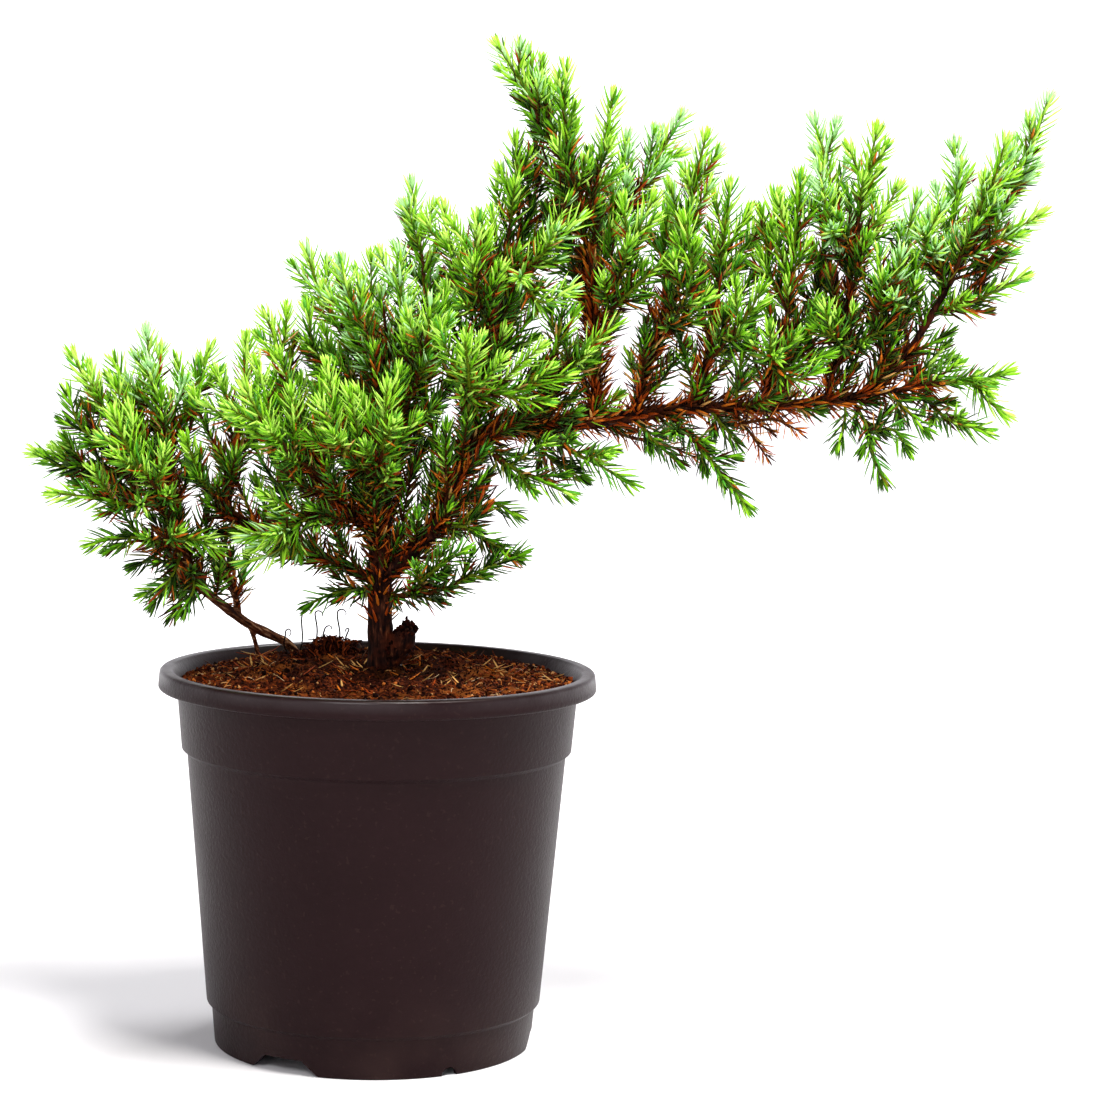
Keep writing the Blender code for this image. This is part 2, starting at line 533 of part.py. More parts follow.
def main():
    for old in list(bpy.data.objects):
        bpy.data.objects.remove(old)
    plastic = material("pot_plastic", (0.022, 0.014, 0.013), 0.45)
    mix = material("potting_mix", (0.08, 0.028, 0.012), 0.95)
    bark = material("bark", (0.06, 0.025, 0.012), 0.85)
    leaf = material("green_needles", (0.09, 0.36, 0.03), 0.55)
    dead_leaf = material("dead_needles", (0.30, 0.09, 0.02), 0.8)

    tree = [smooth_route(in_pot(route), 9) for route in (TRUNK, LONG_LIMB, *LIMB_STEMS, *LEFT_STEMS)]
    tree.append(smooth_route(in_pot(STUMP), 5))
    side = [smooth_route(in_pot(route), 9) for route in (SIDE_STEM, SIDE_TWIG, SIDE_ROOT)]
    planned = plan_sprays(tree + side[:1])

    twigs = []
    for spray in planned:
        radii = np.full(len(spray["twig"]), TWIG_RADIUS)
        twigs.append(np.column_stack([spray["twig"], radii]))
    grown_on_side = [spray["owner"] == len(tree) for spray in planned]
    for name, stems, on_side in (("trunk_and_branches", tree, False), ("side_stem", side, True)):
        meshes = [tube(name, stem[:, :3], stem[:, 3], STEM_PROFILE) for stem in stems]
        for twig, is_side in zip(twigs, grown_on_side):
            if is_side == on_side:
                meshes.append(tube(name, twig[:, :3], twig[:, 3], 0))
        joined(name, meshes, bark)
    make_pot(plastic)
    make_mix(mix, [tree[0], side[0], side[2][::-1]])
    make_sprays(planned, tree + side, twigs, leaf, dead_leaf)


main()
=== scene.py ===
# %% [markdown]
# # A young juniper bonsai in a nursery pot
#
# The plant's solids are packed already: a moulded pot, the potting mix, two woody stems and
# fifty-six leafy sprays, right in size and place, but plain. This lesson gives them their
# looks, one layer at a time. Lengths are in millimetres, as a grower measures them, and
# become metres when a mesh is made.

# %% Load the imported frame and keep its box
import json
import math

import bmesh
import bpy
import numpy as np
from mathutils import Matrix, Vector

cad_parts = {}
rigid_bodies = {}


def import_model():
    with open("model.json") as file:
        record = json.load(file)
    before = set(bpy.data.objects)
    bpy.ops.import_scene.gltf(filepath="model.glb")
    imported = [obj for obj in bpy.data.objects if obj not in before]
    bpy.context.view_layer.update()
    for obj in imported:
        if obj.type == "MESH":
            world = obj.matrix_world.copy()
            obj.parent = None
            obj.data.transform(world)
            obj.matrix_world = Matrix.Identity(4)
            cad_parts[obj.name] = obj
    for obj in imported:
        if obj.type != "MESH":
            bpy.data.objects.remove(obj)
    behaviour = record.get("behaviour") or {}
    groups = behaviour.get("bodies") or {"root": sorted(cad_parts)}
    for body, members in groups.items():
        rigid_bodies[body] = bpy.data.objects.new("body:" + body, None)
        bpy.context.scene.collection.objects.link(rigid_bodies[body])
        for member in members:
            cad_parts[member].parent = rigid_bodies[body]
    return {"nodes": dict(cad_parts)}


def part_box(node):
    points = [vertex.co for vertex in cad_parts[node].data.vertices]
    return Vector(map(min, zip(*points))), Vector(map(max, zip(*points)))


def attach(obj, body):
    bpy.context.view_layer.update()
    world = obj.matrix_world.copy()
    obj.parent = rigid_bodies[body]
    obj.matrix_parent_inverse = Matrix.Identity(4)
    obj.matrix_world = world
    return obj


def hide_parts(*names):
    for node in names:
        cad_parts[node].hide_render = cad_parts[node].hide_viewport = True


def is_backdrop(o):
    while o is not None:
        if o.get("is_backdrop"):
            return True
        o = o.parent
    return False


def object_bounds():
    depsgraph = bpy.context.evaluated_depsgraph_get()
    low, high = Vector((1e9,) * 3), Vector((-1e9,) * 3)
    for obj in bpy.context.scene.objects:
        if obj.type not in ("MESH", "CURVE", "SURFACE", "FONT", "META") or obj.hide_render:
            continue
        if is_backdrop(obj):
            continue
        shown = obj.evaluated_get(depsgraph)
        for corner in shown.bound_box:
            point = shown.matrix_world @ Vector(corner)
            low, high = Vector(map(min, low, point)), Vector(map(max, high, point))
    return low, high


MM = 0.001
UP = np.array([0.0, 0.0, 1.0])

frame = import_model()
cad_box = [list(corner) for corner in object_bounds()]
print("loaded", len(frame["nodes"]), "solids, box in mm",
      [[round(value / MM, 1) for value in corner] for corner in cad_box])

# %% [markdown]
# ## Camera
#
# A long lens about 0.9 m away, tipped down by under 6 degrees, makes the rim a thin ellipse
# and keeps the foliage in profile. The camera is placed with its own three axes, so that
# the small roll of a hand-held frame can be included.

# %% Camera
CAMERA_PLACE = (0.0503, -0.902, 0.2398)
CAMERA_PITCH = math.radians(5.78)
CAMERA_ROLL = math.radians(1.15)
LENS_MM = 100.22


def put_in_scene(name, data):
    made = bpy.data.objects.new(name, data)
    bpy.context.scene.collection.objects.link(made)
    return made


camera = put_in_scene("camera", bpy.data.cameras.new("camera"))
camera.data.lens = LENS_MM
camera.data.sensor_width = 36.0
level_right = Vector((1, 0, 0))
level_up = Vector((0, math.sin(CAMERA_PITCH), math.cos(CAMERA_PITCH)))
backwards = Vector((0, -math.cos(CAMERA_PITCH), math.sin(CAMERA_PITCH)))
right = math.cos(CAMERA_ROLL) * level_right + math.sin(CAMERA_ROLL) * level_up
upwards = -math.sin(CAMERA_ROLL) * level_right + math.cos(CAMERA_ROLL) * level_up
turned = Matrix((right, upwards, backwards)).transposed().to_4x4()
camera.matrix_world = Matrix.Translation(CAMERA_PLACE) @ turned
bpy.context.scene.camera = camera
print("camera looks along", [round(value, 3) for value in -backwards])

# %% [markdown]
# ## Materials as expressions
#
# A material is a small sum over a few patterns. Wiring it node by node hides the sum, so
# one class wraps a node's output, and each of its operators adds a Math node. Every other
# node comes from the method `node`, which sets the node's settings and then its sockets.

# %% Shader maths
class Signal:
    """One output of a finish's nodes. Sums and products of signals add Math nodes."""

    def __init__(self, finish, socket):
        self.finish = finish
        self.socket = socket

    def maths(self, operation, *values, clamp=False):
        settings = {"operation": operation, "use_clamp": clamp}
        return self.finish.node("Math", settings, dict(enumerate(values)))

    def __add__(self, other):
        return self.maths("ADD", self, other)

    def __sub__(self, other):
        return self.maths("SUBTRACT", self, other)

    def __rsub__(self, other):
        return self.maths("SUBTRACT", other, self)

    def __mul__(self, other):
        return self.maths("MULTIPLY", self, other)

    def __truediv__(self, other):
        return self.maths("DIVIDE", self, other)

    __radd__ = __add__
    __rmul__ = __mul__

    def clamped(self):
        return self.maths("ADD", self, 0.0, clamp=True)

    def floored(self):
        return self.maths("FLOOR", self)

    def to_unit(self, low, high):
        """0 at low, 1 at high, and straight between them."""
        return self.finish.node("MapRange", {"clamp": True},
                                {"Value": self, "From Min": low, "From Max": high})


class Finish:
    """A material on one Principled shader, whose constant sockets are given by name."""

    def __init__(self, name, **constants):
        self.material = bpy.data.materials.new(name)
        self.material.use_nodes = True
        self.tree = self.material.node_tree
        self.shader = self.tree.nodes["Principled BSDF"]
        for socket, value in constants.items():
            self.shader.inputs[socket.replace("_", " ")].default_value = value

    def node(self, kind, settings=None, sockets=None, output=0):
        made = self.tree.nodes.new("ShaderNode" + kind)
        for name, value in (settings or {}).items():
            if name == "stops":
                self.set_stops(made.color_ramp, value)
            elif name == "interpolation" and hasattr(made, "color_ramp"):
                made.color_ramp.interpolation = value
            else:
                setattr(made, name, value)
        for name, value in (sockets or {}).items():
            if isinstance(value, Signal):
                self.tree.links.new(value.socket, made.inputs[name])
            else:
                made.inputs[name].default_value = value
        return Signal(self, made.outputs[output])

    @staticmethod
    def set_stops(ramp, stops):
        while len(ramp.elements) < len(stops):
            ramp.elements.new(1.0)
        for element, (position, colour) in zip(ramp.elements, stops):
            element.position = position
            element.color = (*colour, 1.0)

    def place(self):
        """Where a point is on the plant, in metres."""
        return self.node("TexCoord", output="Object")

    def part(self, vector, axis):
        return self.node("SeparateXYZ", {}, {0: vector}, axis)

    def stretched(self, vector, factors):
        return self.node("VectorMath", {"operation": "MULTIPLY"}, {0: vector, 1: factors})

    def noise(self, size_mm, detail=2.0, roughness=0.5, vector=None):
        """Cloudy values round 0.5, with lumps of about the given size."""
        return self.node("TexNoise", {}, {
            "Vector": vector or self.place(), "Scale": 1 / (size_mm * MM),
            "Detail": detail, "Roughness": roughness})

    def ramp(self, signal, stops, interpolation="LINEAR"):
        return self.node("ValToRGB", {"interpolation": interpolation, "stops": stops}, {"Fac": signal})

    def mixed(self, factor, first, second):
        first, second = [value if isinstance(value, Signal) else (*value, 1.0)
                         for value in (first, second)]
        return self.node("Mix", {"data_type": "RGBA"}, {0: factor, 6: first, 7: second}, 2)

    def bump(self, height, depth_mm, strength=1.0):
        return self.node("Bump", {}, {"Height": height, "Distance": depth_mm * MM, "Strength": strength})

    def wear(self, **signals):
        """Link the shader's varying sockets, such as Base_Color or Normal."""
        for name, signal in signals.items():
            self.tree.links.new(signal.socket, self.shader.inputs[name.replace("_", " ")])
        return self.material


print("shader helpers ready")

# %% [markdown]
# ## Floor and light
#
# The plant stands in a white bowl, a floor that curves up into a softly glowing wall, so
# that no horizon shows from any side. A large softbox high on the right is the key, a weak
# one in front opens the shadows, and one behind picks out the tips of the needles.

# %% Bowl-shaped backdrop
FLOOR_RADIUS = 2.2
WALL_RADIUS = 3.6
WALL_HEIGHT = 2.6
BOWL_STEPS = 96


def mesh_of(name, work):
    bmesh.ops.recalc_face_normals(work, faces=work.faces)
    mesh = bpy.data.meshes.new(name)
    work.to_mesh(mesh)
    work.free()
    return mesh


def spun(name, outline, steps):
    """Turn an outline of (radius, height) in metres about the upright axis."""
    work = bmesh.new()
    points = [work.verts.new((radius, 0, height)) for radius, height in outline]
    edges = [work.edges.new(pair) for pair in zip(points, points[1:])]
    bmesh.ops.spin(work, geom=points + edges, axis=(0, 0, 1), cent=(0, 0, 0), steps=steps,
                   angle=math.tau, use_merge=True)
    bmesh.ops.remove_doubles(work, verts=work.verts, dist=1e-7)
    mesh = mesh_of(name, work)
    mesh.shade_smooth()
    return mesh


bend = WALL_RADIUS - FLOOR_RADIUS
turns = np.linspace(0, math.pi / 2, 16)
bowl_outline = [(0, 0), (0.4, 0)] + [
    (FLOOR_RADIUS + bend * math.sin(turn), bend * (1 - math.cos(turn))) for turn in turns
] + [(WALL_RADIUS, WALL_HEIGHT)]
backdrop = put_in_scene("backdrop", spun("backdrop", bowl_outline, BOWL_STEPS))
paper = Finish("white_paper", Base_Color=(0.86, 0.85, 0.87, 1), Roughness=0.9, Emission_Strength=1.0,
               Specular_IOR_Level=0.1)
flattened = paper.stretched(paper.place(), (1.0, 1.0, 0.0))
off_axis = paper.node("VectorMath", {"operation": "LENGTH"}, {0: flattened}, 1)
height = paper.part(paper.place(), 2)
glow = off_axis.to_unit(0.25, 1.1) * (1 - height.to_unit(0.75, 1.0))
backdrop.data.materials.append(paper.wear(
    Emission_Color=paper.ramp(glow, [(0, (0, 0, 0)), (1, (0.93, 0.92, 0.95))])))
backdrop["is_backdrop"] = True

# %% Lights
SUBJECT = Vector((0.05, 0, 0.15))


def softbox(name, azimuth, elevation, distance, size, watts, colour=(1, 1, 1)):
    """A square area light. Azimuth 0 is in front of the plant, and 90 is on its right."""
    lamp = bpy.data.lights.new(name, "AREA")
    lamp.energy = watts
    lamp.size = size
    lamp.color = colour
    holder = put_in_scene(name, lamp)
    turn, rise = math.radians(azimuth), math.radians(elevation)
    away = Vector((math.sin(turn) * math.cos(rise), -math.cos(turn) * math.cos(rise), math.sin(rise)))
    holder.location = SUBJECT + away * distance
    holder.rotation_euler = away.to_track_quat("Z", "Y").to_euler()


softbox("key", 42, 64, 1.4, 0.5, 32.0, (1.0, 0.985, 0.95))
softbox("front", -15, 36, 1.7, 0.5, 9.0)
softbox("back", 150, 58, 1.4, 0.5, 13.0)
world = bpy.data.worlds.new("studio")
world.use_nodes = True
sky = world.node_tree.nodes["Background"]
sky.inputs["Color"].default_value = (1.0, 1.0, 1.0, 1)
sky.inputs["Strength"].default_value = 0.03
bpy.context.scene.world = world
bpy.context.scene.view_settings.view_transform = "Standard"
print("stage and lights ready")

# %% [markdown]
# ## Making meshes from arrays
#
# Needles, crumbs and bark have too many points to place one by one, so a shape is worked
# out as an array for all its copies at once. `Heap` gathers such arrays and makes one mesh
# of them. A face's place on the `OFBake` map goes with it where it decides the colour.

# %% Heap of small shapes
class Heap:
    """Many small closed shapes, gathered into one mesh. Points are in millimetres."""

    def __init__(self):
        self.points, self.corners, self.sizes, self.places = [], [], [], []
        self.count = 0

    def add(self, points, *groups):
        """Points (n, 3), then groups: faces as rows of indices, and their corners' map places if any."""
        for faces, places in groups:
            self.corners.append((faces + self.count).ravel())
            self.sizes.append(np.full(len(faces), faces.shape[1]))
            if places is not None:
                self.places.append(places.reshape(-1, 2))
        self.points.append(points)
        self.count += len(points)

    def mesh(self, name):
        made = bpy.data.meshes.new(name)
        sizes = np.concatenate(self.sizes)
        corners = np.concatenate(self.corners)
        made.vertices.add(self.count)
        made.vertices.foreach_set("co", (np.concatenate(self.points) * MM).astype(np.float32).ravel())
        made.loops.add(len(corners))
        made.loops.foreach_set("vertex_index", corners.astype(np.int32))
        made.polygons.add(len(sizes))
        made.polygons.foreach_set("loop_start", (np.cumsum(sizes) - sizes).astype(np.int32))
        made.update(calc_edges=True)
        if self.places:
            layer = made.uv_layers.new(name="OFBake")
            layer.uv.foreach_set("vector", np.concatenate(self.places).astype(np.float32).ravel())
        made.shade_smooth()
        return made


def set_in_pot(name, mesh, finish, replaced=()):
    """Put a finished mesh on the plant: its material, its body and what it stands for."""
    made = put_in_scene(name, mesh)
    mesh.materials.clear()
    mesh.materials.append(finish)
    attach(made, "root")
    if replaced:
        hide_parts(*replaced)


def rings(points_by_ring):
    """Quads between successive rings of points, shaped (rings, sides, 3), with a fan at each end."""
    count, sides = points_by_ring.shape[:2]
    points = points_by_ring.reshape(-1, 3)
    index = np.arange(count * sides).reshape(count, sides)
    beside = np.roll(index, -1, axis=1)
    quads = np.stack([index[:-1], beside[:-1], beside[1:], index[1:]], axis=-1).reshape(-1, 4)
    points = np.vstack([points, points_by_ring[0].mean(0), points_by_ring[-1].mean(0)])
    first, last = count * sides, count * sides + 1
    fans = np.vstack([
        np.column_stack([beside[0], index[0], np.full(sides, first)]),
        np.column_stack([index[-1], beside[-1], np.full(sides, last)]),
    ])
    return points, quads, fans


def lumps(points, size, seed):
    """Smooth random values from -1 to 1 in space, with lumps of the given size."""
    scaled = np.asarray(points, float) / size
    cell = np.floor(scaled)
    share = scaled - cell
    share = share * share * (3 - 2 * share)
    total = 0
    for corner in np.ndindex(2, 2, 2):
        spot = (cell + corner) @ np.array([127.1, 311.7, 74.7]) + seed * 17.31
        value = np.sin(spot) * 43758.5453
        value = 2 * (value - np.floor(value)) - 1
        weight = np.where(corner, share, 1 - share).prod(-1)
        total = total + value * weight
    return total


print("mesh helpers ready")

# %% [markdown]
# ## The pot
#
# A nursery pot is thin dark plastic: a turned-over lip, a plain band, a body that tapers so
# that pots stack, and a stepped foot with notches that let water out. On a lathe it is one
# outline, whose corners are rounded first, because a moulded edge catches a line of light.

# %% Pot sizes, from the rim down
RIM_RADIUS = 65.0
RIM_WIDTH = 3.6
RIM_FLARE = 0.5
LIP_HEIGHT = 5.6
LIP_OVERHANG = 5.6
BAND_HEIGHT = 17.8
BAND_STEP = 1.6
FOOT_HEIGHT = 11.6
FOOT_STEP = 1.5
DRAFT = 0.086
STEP_RISE = 1.2
WALL = 1.8
FLOOR = 2.0
PAD_RADIUS = 25.0
PAD_SLOPE = 1.0
CHANNEL_HEIGHT = 3.5
DRAIN_HOLES = 6
DRAIN_HOLE_RADIUS = 4.0
NOTCHES = 3
NOTCH_FIRST = -120.0
NOTCH_WIDTH = 23.0
NOTCH_TOP_WIDTH = 13.0
NOTCH_HEIGHT = 4.4
VENT_FIRST = -59.0
VENT_RADIUS = 2.5
POT_STEPS = 180
POT_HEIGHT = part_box("pot")[1].z / MM

lip_low = POT_HEIGHT - LIP_HEIGHT
band_low = lip_low - BAND_HEIGHT
body_high, body_low = band_low - STEP_RISE, FOOT_HEIGHT + STEP_RISE
band_top = RIM_RADIUS - LIP_OVERHANG
band_bottom = band_top - DRAFT * BAND_HEIGHT
body_top = band_bottom - BAND_STEP
body_bottom = body_top - DRAFT * (body_high - body_low)
foot_top = body_bottom - FOOT_STEP
foot_bottom = foot_top - DRAFT * FOOT_HEIGHT
rim_top = RIM_RADIUS - RIM_FLARE
channel_top = CHANNEL_HEIGHT + FLOOR
print("pot radii in mm: rim", RIM_RADIUS, "band", round(band_top, 1), "foot", round(foot_bottom, 1))

# %% Rounded outline
def filleted(outline, arc_points=5):
    """Round each corner of an outline whose rows are (radius, height, fillet)."""
    found = [outline[0][:2]]
    for before, (*corner, fillet), after in zip(outline, outline[1:], outline[2:]):
        corner = np.array(corner)
        to_before, to_after = np.array(before[:2]) - corner, np.array(after[:2]) - corner
        lengths = np.linalg.norm(to_before), np.linalg.norm(to_after)
        room = 0.45 * min(lengths)
        to_before, to_after = to_before / lengths[0], to_after / lengths[1]
        half_angle = math.acos(float(np.clip(to_before @ to_after, -1, 1))) / 2
        if fillet == 0 or half_angle > math.radians(89):
            found.append(tuple(corner))
            continue
        pulled_back = min(fillet / math.tan(half_angle), room)
        start, end = corner + to_before * pulled_back, corner + to_after * pulled_back
        for share in np.linspace(0, 1, arc_points):
            found.append(tuple((1 - share)**2 * start + 2 * share * (1 - share) * corner + share**2 * end))
    return found + [outline[-1][:2]]


outer = [
    (foot_bottom, 0, 0.6), (foot_top, FOOT_HEIGHT, 0.5), (body_bottom, body_low, 0.6),
    (body_top, body_high, 0.6), (band_bottom, band_low, 0.5), (band_top, lip_low, 0.7),
    (RIM_RADIUS, lip_low, 0.9), (rim_top, POT_HEIGHT, 1.3),
]
inner = [
    (rim_top - RIM_WIDTH, POT_HEIGHT, 1.1), (band_top - WALL, lip_low, 1.2),
    (band_bottom - WALL, band_low, 0.8), (body_top - WALL, body_high, 0.8),
    (body_bottom - WALL, body_low, 0.8), (foot_top - WALL, FOOT_HEIGHT, 0.8),
    (foot_bottom + DRAFT * channel_top - WALL, channel_top, 0.8),
    (PAD_RADIUS - WALL + PAD_SLOPE, channel_top, 0.5), (PAD_RADIUS - WALL, FLOOR, 0.5), (0, FLOOR, 0),
]
under = [
    (0, 0, 0), (PAD_RADIUS, 0, 0.5), (PAD_RADIUS + PAD_SLOPE, CHANNEL_HEIGHT, 0.4),
    (foot_bottom - WALL, CHANNEL_HEIGHT, 0.4), (foot_bottom - WALL, 0, 0.3),
]
pot_outline = filleted(under + outer + inner)
pot_mesh = spun("pot_shell", [(radius * MM, height * MM) for radius, height in pot_outline], POT_STEPS)
print("pot outline has", len(pot_outline), "points")

# %% Notches, vents and drain holes
def pushed(name, outline, depth):
    """A prism from an outline of (x, z) in millimetres, from y = 0 to y = depth."""
    work = bmesh.new()
    face = work.faces.new([work.verts.new((x * MM, 0, z * MM)) for x, z in outline])
    moved = [item for item in bmesh.ops.extrude_face_region(work, geom=[face])["geom"]
             if isinstance(item, bmesh.types.BMVert)]
    bmesh.ops.translate(work, verts=moved, vec=(0, depth * MM, 0))
    return mesh_of(name, work)


half_top = NOTCH_TOP_WIDTH / 2
half_low = NOTCH_WIDTH - half_top
notch = pushed("notch", [(-half_low, -NOTCH_HEIGHT), (half_low, -NOTCH_HEIGHT),
                         (half_top, NOTCH_HEIGHT), (-half_top, NOTCH_HEIGHT)], 4 * WALL)
vent = pushed("vent", [(VENT_RADIUS * math.cos(turn), VENT_RADIUS * math.sin(turn))
                       for turn in (np.arange(28) + 0.5) * math.tau / 28], 4 * WALL)
hole = spun("drain_hole", [(radius * MM, height * MM) for radius, height in (
    (0, CHANNEL_HEIGHT - 1), (DRAIN_HOLE_RADIUS, CHANNEL_HEIGHT - 1),
    (DRAIN_HOLE_RADIUS, channel_top + 1), (0, channel_top + 1))], 28)
cutters = bpy.data.collections.new("pot_cutters")
for mesh, first in ((notch, NOTCH_FIRST), (vent, VENT_FIRST)):
    for number in range(NOTCHES):
        turn = math.radians(first + 360 / NOTCHES * number)
        cutter = bpy.data.objects.new(mesh.name, mesh)
        inwards = Matrix.Translation((0, (foot_bottom - 2.5 * WALL) * MM, 0))
        cutter.matrix_world = Matrix.Rotation(turn - math.pi / 2, 4, "Z") @ inwards
        cutters.objects.link(cutter)
ring_radius = (PAD_RADIUS + foot_bottom - WALL) / 2
for number in range(DRAIN_HOLES):
    turn = math.tau * number / DRAIN_HOLES
    cutter = bpy.data.objects.new("drain_hole", hole)
    cutter.location = (ring_radius * math.cos(turn) * MM, ring_radius * math.sin(turn) * MM, 0)
    cutters.objects.link(cutter)


def modified(mesh, kind, **settings):
    """The mesh after one modifier, as a new mesh. No helper object is left behind."""
    helper = put_in_scene("helper", mesh)
    step = helper.modifiers.new("Step", kind)
    for name, value in settings.items():
        setattr(step, name, value)
    graph = bpy.context.evaluated_depsgraph_get()
    made = bpy.data.meshes.new_from_object(helper.evaluated_get(graph))
    bpy.data.objects.remove(helper)
    return made


bpy.context.scene.collection.children.link(cutters)
pot_mesh = modified(pot_mesh, "BOOLEAN", operation="DIFFERENCE", solver="EXACT",
                    operand_type="COLLECTION", collection=cutters)
for cutter in list(cutters.objects):
    bpy.data.objects.remove(cutter)
bpy.data.collections.remove(cutters)
pot_mesh.shade_smooth()
pot_mesh.set_sharp_from_angle(angle=math.radians(32))
print("pot mesh has", len(pot_mesh.polygons), "faces")

# %% Pot plastic: near-black brown with a fine grain, dusty near the foot
plastic = Finish("pot_plastic", Specular_IOR_Level=0.10, Specular_Tint=(1.0, 0.78, 0.76, 1),
                 Coat_Roughness=0.28)
grain = plastic.noise(1.1, detail=3.0, roughness=0.6)
clouds = plastic.noise(24.0, detail=3.0, roughness=0.55)
specks = plastic.noise(1.4, detail=1.0).to_unit(0.66, 0.72)
height = plastic.part(plastic.place(), 2)
low_dust = height.to_unit(0.030, 0.0) * clouds.to_unit(0.4, 0.65)
dust = (specks * 0.04 + low_dust * 0.05).clamped()
polished_rim = height.to_unit((POT_HEIGHT - 4) * MM, (POT_HEIGHT - 1) * MM) * 0.5
base = plastic.mixed(clouds, (0.0072, 0.0024, 0.0030), (0.0118, 0.0044, 0.0052))
plastic.wear(
    Base_Color=plastic.mixed(dust, base, (0.16, 0.10, 0.075)),
    Roughness=grain * 0.16 + clouds * 0.12 + 0.28,
    Coat_Weight=polished_rim * clouds.to_unit(0.25, 0.55),
    Normal=plastic.bump(grain, 0.16, 1.0),
)
set_in_pot("pot_shell", pot_mesh, plastic.material, ["pot"])

# %% [markdown]
# ## Routes of the wood
#
# Every stem follows a given route of points: x along the long limb, y to the back,
# height above the mix, and radius. They are the routes of the imported solids. A smooth curve
# is drawn through each before anything is built on it.

# %% Stem routes
HEADSPACE = 2.0
SOIL_LEVEL = POT_HEIGHT - HEADSPACE


def routes_in(text):
    """Each row's words and routes. A comma ends a point and a semicolon a route."""
    for row in text.strip().replace(",\n", ",").replace(";\n", ";").splitlines():
        words, routes = row.split(":")
        found = [np.array([point.split() for point in route.split(",")], float)
                 for route in routes.split(";")]
        for route in found:
            route[:, 2] += SOIL_LEVEL
        yield words.split(), found


STEMS = """
trunk: 2 4 -24 3, 1.5 3 -10 4.2, 1 3 0 4.6, 0.5 2 10 3.6, 0 0 30 3.4, 0 0 45 3, 1 0 58 2.6, 3 1 72 2,
    6 2 88 1.2
long_limb: 0 0 28 2.4, 5 -2 33 2.4, 11 -4 39 2.4, 18.5 -6 48 2.5, 22 -6 58 2.4, 26 -5 67 2.3,
    34 -3 74 2.2, 50 0 75.5 2.2, 68 2 77.5 2.1, 82 2 80 1.9, 96 1 81.5 1.8, 112 0 82 1.6,
    124 0 83.5 1.4, 140 0 86 1.3, 152 0 96 1.1, 161 0 110 1, 168 0 123 0.8
limb_stem: 26 -5 67 1.6, 26 -4 80 1.4, 29 -2 95 1.2, 33 0 112 1, 36 0 126 0.8
limb_stem: 62 1 77 1.8, 63 2 90 1.4, 62 3 105 1.3, 61 3 120 1, 59 3 130 0.8
limb_stem: 75 2 79 1.3, 77 0 90 1.1, 81 -3 105 0.9, 84 -4 118 0.8
limb_stem: 93 1 81 1.3, 95 3 94 1, 98 4 110 0.8
limb_stem: 112 0 82 1.2, 114 -3 93 1, 118 -4 106 0.8
limb_stem: 131 0 84.5 1.2, 133 2 94 1, 136 4 106 0.9, 137 4 118 0.8
limb_stem: 141 0 86 1.1, 152 -2 88 0.9, 163 -3 90 0.8
left_stem: 0 0 28 1.8, -10 2 32 1.6, -20 6 36 1.4, -30 10 39 1.3, -38 12 42 1.2, -47 12 48 1.1,
    -46 11 58 1, -44 10 68 0.9
left_stem: 0 0 42 1.8, -8 -6 48 1.5, -16 -10 58 1.2, -22 -12 70 0.9
stump: 1 2 2 2.8, 5 1 7 3.2, 7.5 0 11.5 3.2, 8.5 0 14.5 2.5
side_stem: -24 47 -12 1.3, -27 46.5 -3 1.5, -31 44 3.2 1.5, -38 38 7.5 1.5, -44.5 30 12.6 1.4,
    -52 19 20.5 1.4, -56 14 26 1.3, -59 11 34 1.2, -62 9 45 1.1, -64 8 57 1, -64 8 67 0.8
side_twig: -44.5 30 12.6 1, -46 26 22 0.9, -50 20 33 0.8
side_root: -42 33 11 0.8, -40.5 35 6 0.7, -39.5 37 1 0.7, -39 38 -5 0.7
"""

# %% Smooth curves and frames
def smooth_route(route, spacing):
    """Points at even shares along a Catmull-Rom curve through a route."""
    knots = np.array(route, float)
    knots = np.vstack([2 * knots[0] - knots[1], knots, 2 * knots[-1] - knots[-2]])
    found = [knots[1:2]]
    for a, b, c, d in zip(knots, knots[1:], knots[2:], knots[3:]):
        steps = max(1, round(np.linalg.norm(c[:3] - b[:3]) / spacing))
        share = (np.arange(1, steps + 1) / steps)[:, None]
        found.append((2 * b + (c - a) * share + (2 * a - 5 * b + 4 * c - d) * share**2
                      + (3 * b - a - 3 * c + d) * share**3) / 2)
    return np.vstack(found)


def unit(vectors):
    return vectors / np.maximum(np.linalg.norm(vectors, axis=-1, keepdims=True), 1e-9)


def frames_along(points):
    """A tangent and two crosswise directions at each point, carried along without twisting."""
    tangents = unit(np.gradient(points, axis=0))
    sideways = np.empty_like(tangents)
    sideways[0] = unit(np.cross(tangents[0], UP if abs(tangents[0] @ UP) < 0.9 else (1.0, 0, 0)))
    for n in range(1, len(points)):
        sideways[n] = unit(sideways[n - 1] - tangents[n] * (sideways[n - 1] @ tangents[n]))
    return tangents, sideways, np.cross(tangents, sideways)


def spokes(centres, sides):
    """Outward directions of a ring of points round each centre, and their turns about it."""
    sideways, across = frames_along(centres)[1:]
    turn = np.arange(sides) * math.tau / sides
    around = (np.cos(turn)[None, :, None] * sideways[:, None]
              + np.sin(turn)[None, :, None] * across[:, None])
    return around, turn


def lengths_along(points):
    return np.concatenate([[0], np.cumsum(np.linalg.norm(np.diff(points, axis=0), axis=1))])


wood_curves, side_curves = [], []
for words, (route,) in routes_in(STEMS):
    curves = side_curves if words[0].startswith("side") else wood_curves
    curves.append(smooth_route(route, 2.0))
print("stems:", len(wood_curves + side_curves),
      "with", round(sum(lengths_along(c[:, :3])[-1] for c in wood_curves + side_curves)), "mm of wood")

